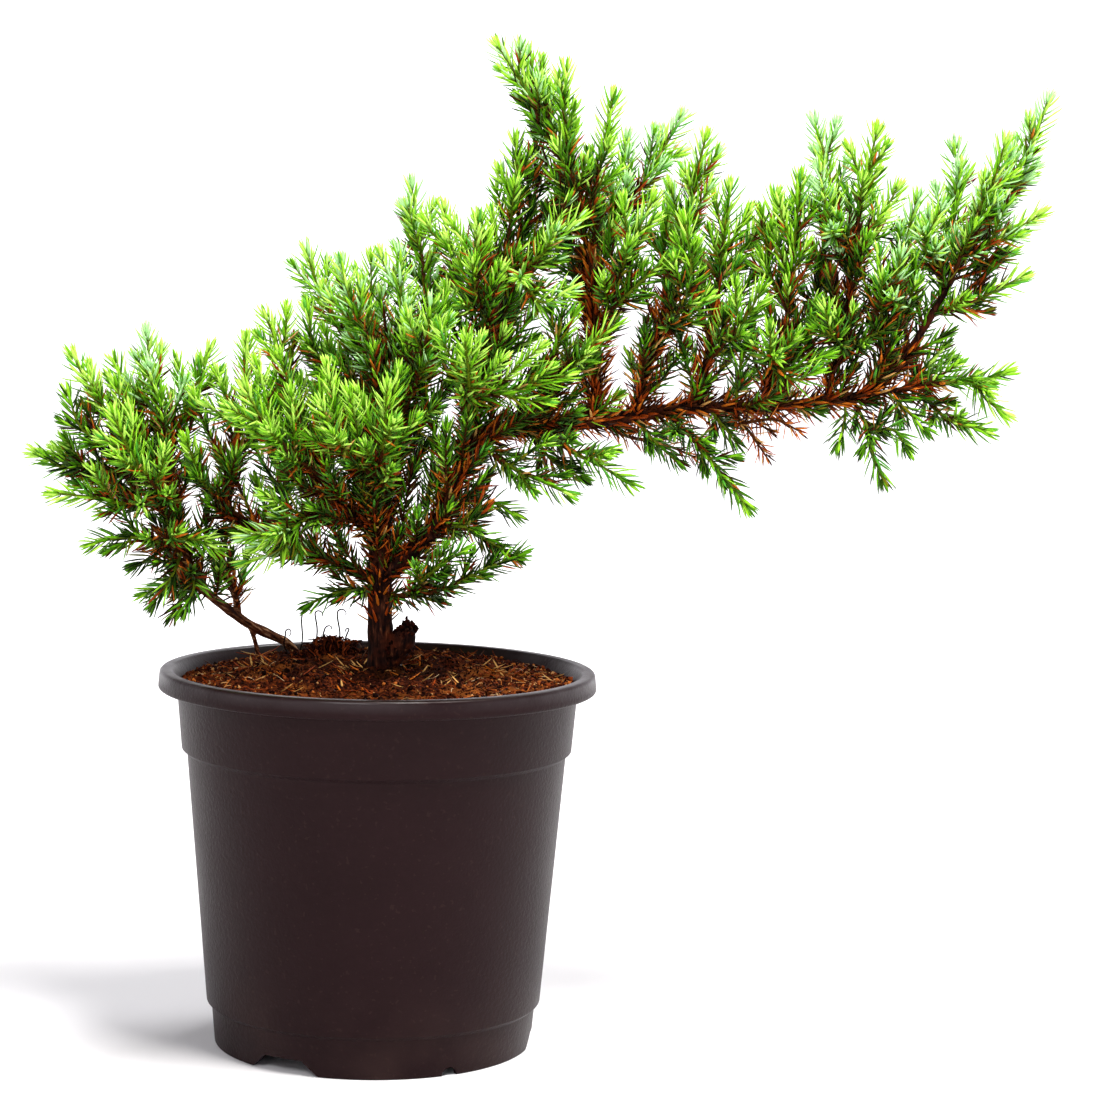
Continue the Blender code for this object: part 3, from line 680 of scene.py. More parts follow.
# %% [markdown]
# ## Bark
#
# Juniper bark is thin and flakes in long strips. Its ridges are pushed out of fine tubes
# while "along" and "around" are still known. Only then does a voxel remesh melt the tubes
# into a single skin, which makes real crotches where branches meet.

# %% Ridged bark
BARK_RING = 0.5
BARK_SIDES = 34
BARK_VOXEL = 0.42


def bark_tube(curve, seed):
    """A stem as a closed tube, its skin split into strips along its length."""
    points = smooth_route(curve[::2], BARK_RING)
    centres, radii = points[:, :3], points[:, 3]
    around, turn = spokes(centres, BARK_SIDES)
    along = lengths_along(centres)
    round_mm = radii[:, None] * np.ones(BARK_SIDES)
    skin = np.stack([np.cos(turn) * round_mm, np.sin(turn) * round_mm,
                     along[:, None] * np.ones(BARK_SIDES)], axis=-1)
    strips = 1 - np.abs(lumps(skin * (1, 1, 0.16), 1.1, seed)) * 2
    flakes = lumps(skin * (1, 1, 0.30), 2.2, seed + 5)
    knots = lumps(skin, 5.5, seed + 9)
    rise = (0.12 * strips + 0.13 * flakes + 0.12 * knots) * np.minimum(radii, 3.2)[:, None]
    return rings(centres[:, None] + around * (radii[:, None] + rise)[..., None])


def bark_of(name, curves, seed):
    heap = Heap()
    for number, curve in enumerate(curves):
        points, quads, fans = bark_tube(curve, seed + number)
        heap.add(points, (quads, None), (fans, None))
    made = modified(heap.mesh(name), "REMESH", mode="VOXEL", voxel_size=BARK_VOXEL * MM,
                    use_smooth_shade=True)
    print(name, "has", len(made.polygons), "faces")
    return made


# %% Bark finish: dark strips over tan and rust
def bark_finish(name, shift, tilt=0.0):
    """Shift lightens the bark, as on thin exposed stems. Tilt lays its strips along a leaning stem."""
    bark = Finish(name, Specular_IOR_Level=0.05)
    upright = bark.node("VectorRotate", {"rotation_type": "AXIS_ANGLE"}, {
        "Vector": bark.place(), "Axis": (-0.77, 0.64, 0.0), "Angle": tilt})
    strands = bark.noise(1.0, detail=4.0, roughness=0.62, vector=bark.stretched(upright, (1.0, 1.0, 0.2)))
    patches = bark.noise(6.0, detail=3.0)
    tone = bark.ramp((strands + shift).clamped(), [
        (0.32, (0.004, 0.001, 0.001)), (0.46, (0.018, 0.005, 0.003)), (0.56, (0.055, 0.016, 0.007)),
        (0.66, (0.17, 0.060, 0.024)), (0.76, (0.50, 0.29, 0.16))])
    rust = bark.mixed(patches.to_unit(0.5, 0.7) * 0.6, tone, (0.10, 0.018, 0.005))
    return bark.wear(Base_Color=rust, Roughness=strands * 0.3 + 0.62,
                     Normal=bark.bump(strands, 0.35, 0.8))


trunk_bark = bark_finish("trunk_bark", -0.08)
side_bark = bark_finish("side_stem_bark", 0.09, math.radians(62))
set_in_pot("trunk_bark", bark_of("trunk_bark", wood_curves, 3), trunk_bark, ["trunk_and_branches"])
set_in_pot("side_stem_bark", bark_of("side_stem_bark", side_curves, 40), side_bark, ["side_stem"])

# %% [markdown]
# ## Potting mix
#
# The mix is coir: lumps of red-brown pith, straw-coloured fibres and a few white grains of
# perlite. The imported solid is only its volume, so a finer body with a crusty top takes its
# place, dished towards the wall and heaped behind the trunk.

# %% Surface of the mix
MIX_DISH = 1.6
MIX_BUMP = 0.7
MIX_GAP = 0.3
MIX_STEPS = 300
MIX_RINGS = 84
top_inside = float(np.interp(SOIL_LEVEL - MIX_DISH, (lip_low, POT_HEIGHT),
                             (band_top - WALL, rim_top - RIM_WIDTH))) - MIX_GAP


def mix_height(x, y):
    """Height of the mix: dished, heaped behind the trunk, with lumps and a crust."""
    out = np.hypot(x, y) / top_inside
    bumps = np.sin(0.31 * x + 1.3) * np.cos(0.27 * y) + 0.6 * np.sin(0.17 * x - 0.39 * y)
    flat = np.stack([x, y, np.zeros_like(x)], axis=-1)
    fade = 1 - out**12
    heap = 2.3 * np.exp(-((x + 4) ** 2) / 900 - (y - 26) ** 2 / 420) + 0.03 * np.maximum(y, 0)
    heap = heap + 0.8 * np.clip(-y / top_inside, 0, 1) + 1.2 * np.exp(-(x**2 + (y - 2) ** 2) / 60)
    crust = 0.75 * lumps(flat, 5.0, 2) + 0.55 * lumps(flat, 2.1, 3) + 0.35 * lumps(flat, 0.95, 4)
    level = SOIL_LEVEL - MIX_DISH * out**2 + (MIX_BUMP * bumps + heap) * fade
    return level + crust * np.clip((1 - out) * 12, 0.25, 1)


# The mix fills the pot's inner outline, a small gap inside it, from the raised pad up to the lip.
wall_outline = [(radius - MIX_GAP, height + (MIX_GAP if height <= channel_top else 0))
                for radius, height, _ in inner[8:0:-1]]
turn = np.arange(MIX_STEPS) * math.tau / MIX_STEPS
circle = np.column_stack([np.cos(turn), np.sin(turn)])
mix_rings = []
for radius, height in wall_outline:
    mix_rings.append(np.column_stack([circle * radius, np.full(MIX_STEPS, height)]))
for radius in np.linspace(top_inside, 0.4, MIX_RINGS):
    ring = circle * radius
    mix_rings.append(np.column_stack([ring, mix_height(ring[:, 0], ring[:, 1])]))
points, quads, fans = rings(np.stack(mix_rings))
mix_heap = Heap()
mix_heap.add(points, (quads, None), (fans, None))
mix_mesh = mix_heap.mesh("coir_mix")
print("mix body has", len(mix_mesh.polygons), "faces")

# %% Coir finish: pith, fibre flecks, painted shade round the trunk
coir = Finish("coir_mix", Specular_IOR_Level=0.03)
pith = coir.noise(1.5, detail=5.0, roughness=0.7)
patches = coir.noise(13.0, detail=2.0)
trunk_distance = coir.node("VectorMath", {"operation": "DISTANCE"},
                      {0: coir.place(), 1: (0.004, 0.002, SOIL_LEVEL * MM)}, 1)
tone = coir.ramp(pith, [(0.32, (0.004, 0.001, 0.0005)), (0.47, (0.022, 0.004, 0.001)),
                        (0.58, (0.080, 0.015, 0.004)), (0.69, (0.19, 0.040, 0.009)),
                        (0.80, (0.36, 0.12, 0.03))])
orange = coir.mixed(patches.to_unit(0.52, 0.68) * 0.45, tone, (0.30, 0.085, 0.014))
# Painted shade: close round the trunk's foot the mix is painted near-black.
trunk_shade = (1 - trunk_distance.to_unit(0.008, 0.022)) * 0.75
coir.wear(Base_Color=coir.mixed(trunk_shade, orange, (0.006, 0.002, 0.001)), Roughness=pith * 0.2 + 0.75,
          Normal=coir.bump(pith, 0.6, 0.9))
set_in_pot("coir_mix", mix_mesh, coir.material, ["potting_mix"])

# %% [markdown]
# ## Tones in rows
#
# No two needles are the same green, yet one material has to serve them all. Each small
# shape picks a row of a tone chart through its place on the `OFBake` map. The row says which
# tone, and the place in it says where on the shape a point lies. The colour depends on the
# map alone, so a baked texture holds it exactly.

# %% Tone chart
def chart(finish, tones):
    """The tone picked by the map's row, the place along (0 to 1) and across (0 to 1) the shape."""
    spot = finish.node("UVMap", {"uv_map": "OFBake"})
    along = finish.part(spot, 0)
    rows = finish.part(spot, 1) * len(tones)
    row = rows.floored()
    stops = [(number / len(tones), colour) for number, colour in enumerate(tones)]
    tone = finish.ramp((row + 0.5) / len(tones), stops, "CONSTANT")
    return tone, along, ((rows - row - 0.1) / 0.8).clamped(), row


def row_places(row, across, along, row_count):
    """Map places from a tone row and places along and across a shape, all broadcast together."""
    along, across, row = np.broadcast_arrays(along, across, np.asarray(row, float))
    return np.stack([along, (row + 0.1 + 0.8 * across) / row_count], axis=-1)


NEEDLE_TONES = [
    (0.27, 0.040, 0.004), (0.55, 0.14, 0.012), (0.58, 0.31, 0.09), (0.045, 0.011, 0.003),
    (0.15, 0.14, 0.004), (0.004, 0.016, 0.001), (0.013, 0.056, 0.001), (0.038, 0.145, 0.001),
    (0.085, 0.275, 0.003), (0.160, 0.44, 0.008), (0.30, 0.63, 0.025), (0.50, 0.82, 0.11),
    (0.08, 0.34, 0.030), (0.46, 0.80, 0.34), (0.10, 0.14, 0.006), (0.060, 0.018, 0.004),
]
RUST, ORANGE, TAN, UMBER, OLIVE, DEEPEST = range(6)
LIME, BLUE_GREEN, GLAUCOUS, GREEN_STEM, BROWN_STEM = range(11, 16)
GREENS = LIME - DEEPEST + 1
print("needle tones:", len(NEEDLE_TONES))

# %% Needle finish
def needle_finish(name, gloss):
    leaf = Finish(name, Specular_IOR_Level=gloss)
    tone, place, across, row = chart(leaf, NEEDLE_TONES)
    is_lower = place.to_unit(0.499, 0.501)
    along = place * 2 - is_lower
    is_green = row.to_unit(3.4, 3.6) * (1 - row.to_unit(13.4, 13.6))
    off_middle = (across - 0.5).maths("ABSOLUTE", across - 0.5)
    bands = off_middle.to_unit(0.08, 0.16) * (1 - off_middle.to_unit(0.30, 0.38))
    pale = bands * (1 - is_lower) * is_green * along.to_unit(0.04, 0.2) * (1 - along.to_unit(0.82, 0.97))
    # Painted light: each green needle's thin edges are painted a lighter yellow-green, as light shining
    # through them.
    lit_edge = off_middle.to_unit(0.34, 0.5) * is_green
    with_bands = leaf.mixed(pale * 0.16, tone, (0.40, 0.70, 0.20))
    with_lit_edge = leaf.mixed(lit_edge * 0.22, with_bands, (0.55, 0.76, 0.13))
    # Painted shade: each green needle is painted darker near its base, where it sits in the shoot's shade.
    shaded_base = leaf.mixed((1 - along.to_unit(0.0, 0.26)) * 0.45 * is_green, with_lit_edge,
                           (0.012, 0.030, 0.001))
    # Painted highlight: the tips of green needles are painted pale yellow-green.
    with_lit_tips = leaf.mixed(along.to_unit(0.86, 1.0) * 0.22 * is_green, shaded_base, (0.50, 0.60, 0.12))
    return leaf.wear(Base_Color=with_lit_tips, Roughness=0.50 - along * 0.10 + is_lower * 0.08)


green_leaf = needle_finish("juniper_needles", 0.05)
dead_leaf = needle_finish("dead_juniper_needles", 0.03)

# %% [markdown]
# ## One needle, many needles
#
# A juniper needle is an awl: 4 to 8 mm long, under 1 mm wide, flat on the side that faces
# the shoot and keeled on the other. Three sections of three points and a tip make one, and
# one array operation per section makes them all.

# %% Needle meshes
BASE, ALONG, UPPER, LENGTH, TONE = slice(0, 3), slice(3, 6), slice(6, 9), 9, 11
NEEDLE_STATIONS = (0.0, 0.30, 0.68)
NEEDLE_WIDTHS = (0.34, 0.5, 0.40)
KEEL = 0.42


class Foliage:
    """Needles waiting to be meshed: where each starts, where it points and its tone."""

    def __init__(self):
        self.rows = []

    def add(self, base, along, upper, length, width, tone, bow):
        count = len(base)
        columns = [np.broadcast_to(np.asarray(value, float).reshape(-1, 1), (count, 1))
                   for value in (length, width, tone, bow)]
        self.rows.append(np.hstack([base, along, upper, *columns]))

    def mesh_into(self, heap, shade_tones=None):
        table = np.vstack(self.rows)
        if shade_tones:
            table[:, TONE] = shade_tones(table)
        base, along, upper = table[:, BASE], table[:, ALONG], table[:, UPPER]
        length, width, tone, bow = (table[:, n:n + 1] for n in range(9, 13))
        across = np.cross(along, upper)
        points = []
        for station, half in zip(NEEDLE_STATIONS, NEEDLE_WIDTHS):
            middle = base + along * length * station + upper * bow * length * station**2
            points += [middle - across * width * half, middle + across * width * half,
                       middle - upper * width * half * KEEL * 2]
        points.append(base + along * length + upper * bow * length)
        points = np.stack(points, axis=1)
        quads, quad_spots = [], []
        for n in range(2):
            left, right, keel = 3 * n, 3 * n + 1, 3 * n + 2
            low, high = NEEDLE_STATIONS[n] / 2, NEEDLE_STATIONS[n + 1] / 2
            quads += [(left, right, right + 3, left + 3), (right, keel, keel + 3, right + 3),
                      (left, left + 3, keel + 3, keel)]
            quad_spots += [[(low, 0), (low, 1), (high, 1), (high, 0)],
                           [(low + 0.5, 1), (low + 0.5, 0.5), (high + 0.5, 0.5), (high + 0.5, 1)],
                           [(low + 0.5, 0), (high + 0.5, 0), (high + 0.5, 0.5), (low + 0.5, 0.5)]]
        high = NEEDLE_STATIONS[2] / 2
        tris = [(6, 7, 9), (8, 9, 7), (6, 9, 8), (0, 2, 1)]
        tri_spots = [[(high, 0), (high, 1), (0.495, 0.5)],
                     [(high + 0.5, 0.5), (0.995, 0.5), (high + 0.5, 1)],
                     [(high + 0.5, 0), (0.995, 0.5), (high + 0.5, 0.5)],
                     [(0.51, 0), (0.51, 0.5), (0.51, 1)]]
        offsets = np.arange(len(table)) * 10
        groups = []
        for faces, spots in ((quads, quad_spots), (tris, tri_spots)):
            faces, spots = np.array(faces), np.array(spots)
            placed = row_places(tone[:, :, None], spots[None, ..., 1],
                                0.004 + spots[None, ..., 0] * 0.992, len(NEEDLE_TONES))
            groups.append(((faces[None] + offsets[:, None, None]).reshape(-1, faces.shape[1]), placed))
        heap.add(points.reshape(-1, 3), *groups)
        return len(table)


# %% Shade inside the crown
CROWD_CELL = 4.0
CROWD_ABOVE = 8


class Crowding:
    """How deep in the foliage a point lies, from 0 to 1, by needles counted in small cubes."""

    def __init__(self, points):
        self.low = points.min(axis=0) - 2 * CROWD_CELL
        counts = np.zeros(((np.ptp(points, axis=0) + 4 * CROWD_CELL) / CROWD_CELL).astype(int) + 1)
        np.add.at(counts, self.cells(points), 1.0)
        for axis in range(3):
            counts = (np.roll(counts, 1, axis) + 2 * counts + np.roll(counts, -1, axis)) / 4
        self.depth = counts.copy()
        for step in range(1, CROWD_ABOVE):
            self.depth[:, :, :-step] += counts[:, :, step:] * 0.5 * 0.85**step
        self.open, self.closed = np.percentile(self.depth[self.cells(points)], (12, 92))

    def cells(self, points):
        return tuple(((points - self.low) / CROWD_CELL).astype(int).T)

    def at(self, points):
        depth = self.depth[self.cells(points)]
        return np.clip((depth - self.open) / (self.closed - self.open), 0, 1)


def needle_middles(table):
    return table[:, BASE] + table[:, ALONG] * table[:, LENGTH:LENGTH + 1] * 0.6


def shaded_tones(table):
    """Needles in the open are lighter, and needles deep inside are darker and often dead."""
    shade, tone = crowding.at(needle_middles(table)), table[:, TONE]
    green = (tone >= DEEPEST) & (tone <= LIME)
    moved = np.round(tone + 1.55 - 4.7 * shade + rng.normal(0, 0.6, len(tone)))
    tone = np.where(green, np.clip(moved, DEEPEST, LIME), tone)
    old = rng.choice([RUST, ORANGE, UMBER, OLIVE], len(tone), p=[0.3, 0.1, 0.35, 0.25])
    tone = np.where(green & (rng.random(len(tone)) < 0.44 * shade**1.5), old, tone)
    return np.where(~green & (rng.random(len(tone)) < 0.2 * shade), UMBER, tone)


def stem_into(heap, centres, radii, tones, sides=5):
    """A thin stem, each of its rings in its own tone row."""
    points, quads, fans = rings(centres[:, None] + spokes(centres, sides)[0] * radii[:, None, None])
    ring_tones = np.append(np.repeat(tones, sides), [tones[0], tones[-1]])
    turn_share = np.append(np.tile(np.abs(np.linspace(-1, 1, sides)), len(centres)), [0.5, 0.5])
    groups = []
    for faces in (quads, fans):
        row = ring_tones[faces[:, :1]]
        groups.append((faces, row_places(row, turn_share[faces], 0.75, len(NEEDLE_TONES))))
    heap.add(points, *groups)


# %% [markdown]
# ## How a shoot grows
#
# Needles stand in threes, each three turned by half a gap from the three below. They lean
# well out on old wood and close up towards the bud. Side shoots leave at about 45 degrees,
# each 137.5 degrees further round than the one before, and curve back towards the light.

# %% Shoots
GOLDEN_ANGLE = math.radians(137.5)
TIP_DISTANCES = (0.0, 1.5, 5.0, 14.0)
TIP_LEANS = (17.0, 31.0, 41.0, 49.0)
TIP_LENGTHS = (0.60, 0.82, 1.0, 1.0)


class Shoot:
    """A smooth axis on which needles and side shoots are set by their distance from its start."""

    def __init__(self, centres):
        self.centres = centres
        self.tangents, self.sideways, self.across = frames_along(centres)
        self.along = lengths_along(centres)
        self.length = self.along[-1]

    def at(self, distance, values):
        return np.stack([np.interp(distance, self.along, column) for column in values.T], axis=-1)

    def outward(self, distance, turn):
        """A unit direction square to the axis, at an angle round it."""
        side, over = self.at(distance, self.sideways), self.at(distance, self.across)
        return unit(np.cos(turn)[..., None] * side + np.sin(turn)[..., None] * over)


def set_needles(foliage, shoot, rng, start, pitch, full, stem_radius, tone_of, lean=1.0, per_whorl=3,
                width=0.92, bow=0.07, ragged=6.0):
    """Whorls of needles from a start distance to the tip, and a small bud of them on the end."""
    stops = np.arange(start, shoot.length, pitch)
    whorl = np.repeat(np.arange(len(stops)), per_whorl)
    distance = np.repeat(stops, per_whorl) + rng.uniform(-0.3, 0.3, len(whorl)) * pitch
    turn = (np.tile(np.arange(per_whorl), len(stops)) + 0.5 * whorl) * math.tau / per_whorl
    turn = turn + rng.normal(0, 0.16, len(turn)) + rng.uniform(0, math.tau)
    distance = np.append(distance, shoot.length - np.array([0.0, 0.2, 0.5, 0.8, 1.0]))
    distance = np.clip(distance, 0, shoot.length)
    turn = np.append(turn, np.arange(5) * GOLDEN_ANGLE)
    to_tip = shoot.length - distance
    tilt = np.interp(to_tip, TIP_DISTANCES, TIP_LEANS) * lean + rng.normal(0, ragged, len(turn))
    tilt = np.radians(np.clip(tilt, 4, 88))
    length = full * np.interp(to_tip, TIP_DISTANCES, TIP_LENGTHS) * rng.uniform(0.82, 1.14, len(turn))
    forward = unit(shoot.at(distance, shoot.tangents))
    out = shoot.outward(distance, turn)
    along = forward * np.cos(tilt)[:, None] + out * np.sin(tilt)[:, None]
    upper = forward * np.sin(tilt)[:, None] - out * np.cos(tilt)[:, None]
    base = shoot.at(distance, shoot.centres) + out * stem_radius
    share = distance / shoot.length
    foliage.add(base, along, upper, length, width * rng.uniform(0.85, 1.15, len(turn)),
                tone_of(share, to_tip, rng), bow)


def side_shoot(shoot, distance, turn, length, rng, leave=44.0, rise=0.4):
    """A short curved axis that leaves another at an angle and bends forward and up."""
    forward = unit(shoot.at(distance, shoot.tangents))
    out = shoot.outward(np.array(distance), np.array(turn))
    tilt = math.radians(leave + rng.normal(0, 6))
    heading = unit(forward * math.cos(tilt) + out * math.sin(tilt) + UP * 0.12)
    bend = (forward * 0.7 + UP * rise + rng.normal(0, 0.12, 3)) * 0.5
    share = np.linspace(0, 1, 6)[:, None]
    return Shoot(shoot.at(distance, shoot.centres) + (heading * share + bend * share**2 * 0.6) * length)


def green_tones(light, dying, pale=0.0):
    """Tones painted lighter on a brighter-lit spray and towards its lit tip, with dead needles near the
    base, and pale tips if asked.
    """
    def tone_of(share, to_tip, rng):
        shade = light + 0.20 * share + rng.normal(0, 0.19, len(share)) - 0.10
        row = DEEPEST + np.clip(np.floor(shade * GREENS), 0, GREENS - 1)
        row = np.where(rng.random(len(row)) < 0.04, BLUE_GREEN, row)
        row = np.where(rng.random(len(row)) < pale * np.clip(1 - to_tip / 14, 0, 1), GLAUCOUS, row)
        old = rng.choice([RUST, ORANGE, TAN, UMBER, OLIVE], len(row), p=[0.27, 0.2, 0.1, 0.18, 0.25])
        return np.where(rng.random(len(row)) < dying * np.clip(1 - share / 0.55, 0, 1), old, row)
    return tone_of


def dead_tones(weights=(0.40, 0.26, 0.12, 0.22)):
    def tone_of(share, to_tip, rng):
        return rng.choice([RUST, ORANGE, TAN, UMBER], len(share), p=weights)
    return tone_of


print("needle and shoot tools ready")

# %% [markdown]
# ## Leafy sprays
#
# A spray is a leader that starts on its branch, perhaps with a fork or two. Each row gives
# its name, its reach (how far side shoots and needles stand out), what is unusual in its
# light, its dying needles or its pale tips, and the routes of its leader and forks. Each
# becomes one mesh that takes the place of its plain solid.

# %% Spray routes
SPRAYS = """
left_spray_tip 7: -62 9 44, -75 8 52, -88 7 59, -103 6 64; -70 8 50, -76 -3 50, -85 -6 52, -95 -8 53
left_spray_outer 7: -64 8 60, -74 2 70, -84 0 80, -91 -1 93; -70 5 66, -75 14 77, -82 20 91
left_spray_top 6.5 pale=0.75: -64 8 67, -67 6 78, -69 5 88, -70 4 100
left_spray_inner 6.5: -64 8 64, -60 13 75, -56 17 85, -53 19 95
left_spray_front 8: -62 9 48, -67 -6 57, -73 -13 67, -77 -15 77
left_spray_low 6.5: -59 11 34, -68 1 39, -76 -3 40, -85 -5 38; -64 5 37, -56 -1 40, -48 -3 37
left_spray_lowest 5.5 light=0.2 dying=0.8: -54 14 24, -62 17 25, -72 19 21; -59 16 25, -60 8 20, -62 4 16
left_spray_back 8 light=0.3: -63 9 50, -69 24 58, -75 32 68
left_spray_small 5 light=0.4: -47 12 48, -53 2 57, -57 -5 69
middle_spray_top 6.5 dying=0.65: -44 10 68, -42 10 78, -41 9 88, -41 8 98; -43 10 74, -47 4 76, -51 0 79
middle_spray_upper 7: -22 -12 70, -26 -9 84, -29 -7 94, -34 -6 106
middle_spray_low 6.5 pale=0.3: -12 -8 53, -22 -18 47, -30 -22 44, -38 -23 43; -22 -18 47, -29 -12 38,
    -39 -9 34
middle_spray_front 8.5: -17 -10 60, -25 -20 67, -32 -26 76, -38 -28 86
middle_spray_inner 7.5: -14 -9 56, -20 -1 64, -23 5 74, -25 8 86
middle_spray_back 8 light=0.3: -28 9 38, -31 19 52, -34 25 64, -36 28 77
low_left_spray 4.5 light=0.1 dying=0.5: 0 0 27, -7 -6 26, -14 -9 25, -20 -11 22
crown_spray_left 7.5 pale=0.35: 4 1 78, -6 10 90, -14 14 102, -20 15 113, -24 15 125; -6 10 90, -5 17 105,
    -5 20 123
crown_spray_middle 7.5 pale=0.5: 5 2 83, -1 -5 95, -8 -9 108, -12 -10 122; 1 -3 91, 5 -7 106, 5 -8 125
crown_spray_peak 7.5 pale=0.6: 6 2 88, 11 6 104, 11 11 120, 9 13 132, 7 13 145
crown_spray_right 7: 31 -1 104, 28 -12 112, 27 -15 122, 28 -16 135; 29 -8 109, 22 2 118, 17 6 138
crown_spray_leader 6.5: 36 0 126, 37 -1 136, 38 -1 147, 38 -1 158
crown_spray_front_right 8: 26 -4 78, 26 -16 84, 26 -27 92, 25 -34 101; 26 -16 84, 38 -18 86, 54 -18 91
crown_spray_front 8.5: 0 0 50, 0 -14 60, 2 -24 72, 3 -30 87; 0 -14 60, -9 -23 68, -16 -32 82
crown_spray_front_high 8.5 pale=0.25: 3 1 72, 9 -11 84, 13 -19 97, 15 -23 111
crown_spray_back 8.5 light=0.32: 2 0 66, -8 14 72, -16 24 82, -22 30 94; -5 10 70, 8 22 88, 15 30 112
crown_spray_back_right 8 light=0.38: 28 -3 90, 34 12 100, 38 22 112, 40 27 124
crown_spray_sweep 8 pale=0.35: 34 0 116, 42 -9 122, 50 -13 129, 57 -15 136; 40 -7 120, 46 -18 112,
    55 -21 116
top_spray_left 6.5 pale=0.3: 59 3 130, 55 3 145, 48 3 160, 40 3 174, 32 3 186; 48 3 158, 45 8 169,
    41 10 184
top_spray_middle 6: 60 3 126, 55 -5 144, 52 -8 161, 52 -9 179; 58 0 134, 62 -4 148, 66 -6 171
top_spray_right 6 pale=0.8: 61 3 118, 66 10 136, 69 15 148, 71 17 160; 64 8 129, 75 15 146, 87 20 167
top_spray_low 6.5: 62 3 105, 70 -7 113, 77 -11 120, 84 -14 126; 67 -4 110, 71 -10 126, 78 -13 142
top_spray_back 8 light=0.32: 62 3 108, 56 16 118, 52 24 130, 50 28 142
third_spray_tip 6.5 pale=0.25: 84 -4 118, 88 -5 133, 90 -6 146, 93 -6 160
third_spray_front 6 light=0.44: 81 -3 104, 87 -12 107, 94 -16 114; 85 -9 106, 89 -18 120, 87 -21 136
fourth_spray_tip 6.5 dying=0.5: 98 4 110, 99 4 122, 100 3 134, 101 3 146; 98 4 119, 105 12 127,
    111 16 136; 98 4 120, 95 14 123, 91 22 125
fourth_spray_low 6.5 light=0.44: 95 3 94, 101 -7 102, 106 -12 109, 110 -14 117
fifth_spray_tip 6.5: 118 -4 106, 119 -5 122, 120 -5 135, 121 -5 149; 118 -4 111, 113 5 124, 115 9 144
fifth_spray_front 6 light=0.42: 114 -3 93, 113 -15 98, 112 -23 105; 113 -9 95, 120 -15 91, 126 -18 94
sixth_spray_left 6.5 pale=0.9: 137 4 118, 134 8 134, 131 10 148, 126 11 166; 135 5 124, 130 -5 136,
    126 -10 151
sixth_spray_right 6.5: 137 4 116, 138 0 132, 140 -1 147, 143 -2 163; 137 2 122, 144 9 133, 151 13 147
sixth_spray_low 5.5 light=0.42: 134 3 98, 141 -7 103, 147 -10 106; 137 -1 100, 131 -12 104, 128 -17 112
end_spray_tip 6 pale=0.85: 168 0 123, 176 0 138, 184 0 151, 189 0 162, 193 0 173; 178 0 141, 184 7 148,
    191 10 154
end_spray_upper 6 pale=0.4: 166 0 119, 171 -8 136, 176 -11 149, 179 -12 160; 168 -4 127, 178 -9 132,
    190 -11 140
end_spray_middle 6 pale=0.7: 163 0 113, 166 9 130, 169 13 145, 168 14 160; 164 4 120, 158 -5 130,
    162 -10 142
end_spray_side 5.5: 161 0 109, 170 -5 113, 179 -7 118, 186 -8 122
end_spray_inner 6.5 pale=0.6: 154 0 99, 153 9 116, 154 12 130, 157 12 144; 154 4 106, 149 -6 114,
    150 -12 127
end_spray_low 5 light=0.46 dying=0.3: 163 -3 90, 170 -3 91, 177 -4 92, 183 -4 94; 173 -3 91, 177 -6 86,
    182 -8 82
end_spray_fork 5 light=0.36 dying=0.5: 152 -2 88, 159 6 92, 168 10 97; 160 7 92, 162 5 84, 168 -5 79,
    177 -10 77
hanging_spray_end 4.5 light=0.18: 138 0 85, 142 -6 78, 144 -9 70, 147 -10 62; 143 -7 75, 149 -12 77,
    153 -14 72
hanging_spray_middle 4.5 light=0.18: 84 2 80, 91 -8 73, 99 -12 64, 107 -14 54
dead_spray_limb 4.5: 65 2 77, 73 9 72, 83 12 70, 93 13 66
dead_spray_hanging 4.5: 103 0 82, 108 -7 75, 113 -10 68; 106 -4 78, 115 -10 79, 122 -13 76
limb_spray_low 6 light=0.24: 48 0 75, 55 -10 69, 64 -14 65, 73 -16 60
limb_spray_front 6 light=0.26: 30 -4 70, 37 -14 65, 46 -19 61, 55 -21 57
limb_spray_lowest 4.5 light=0.12 dying=0.7: 16 -5 45, 25 -13 46, 33 -15 42, 40 -16 38; 25 -13 46,
    32 -12 53, 40 -11 50
low_right_spray 4.5 light=0.1 dying=0.5: 0 0 24, 10 -8 25, 20 -14 28, 31 -17 34, 42 -18 39; 9 -7 25,
    15 -16 32, 25 -24 40
"""

# %% Grow the sprays
USUAL = {"light": 0.56, "dying": 0.42, "pale": 0.0}
NEEDLE_LENGTH = 7.4
LEADER_PITCH = 1.55
SIDE_PITCH = 1.35
BARE_TWIG = 4.0
BARE_TIP = 11.0
ROUTE_SPACING = 1.5
LEADER_RADIUS = 0.45
SIDE_RADIUS = 0.28
# How needles stand on a leader, and on its side shoots.
LIVE = ({"full": NEEDLE_LENGTH, "lean": 1.0, "ragged": 6, "width": 0.92, "bow": 0.07},
        {"full": NEEDLE_LENGTH * 0.86, "lean": 0.95, "ragged": 6, "width": 0.86, "bow": 0.07})
DEAD = ({"full": NEEDLE_LENGTH * 0.75, "lean": 1.25, "ragged": 13, "width": 0.7, "bow": -0.1},
        {"full": NEEDLE_LENGTH * 0.66, "lean": 1.2, "ragged": 13, "width": 0.65, "bow": -0.1})


def nearest_on(point, curve):
    return curve[np.linalg.norm(curve[:, :3] - point, axis=1).argmin(), :3]


def leader_radii(length_from_tip):
    return np.interp(length_from_tip, (0, 8, 40, 90), (0.28, 0.42, 0.75, 1.0))


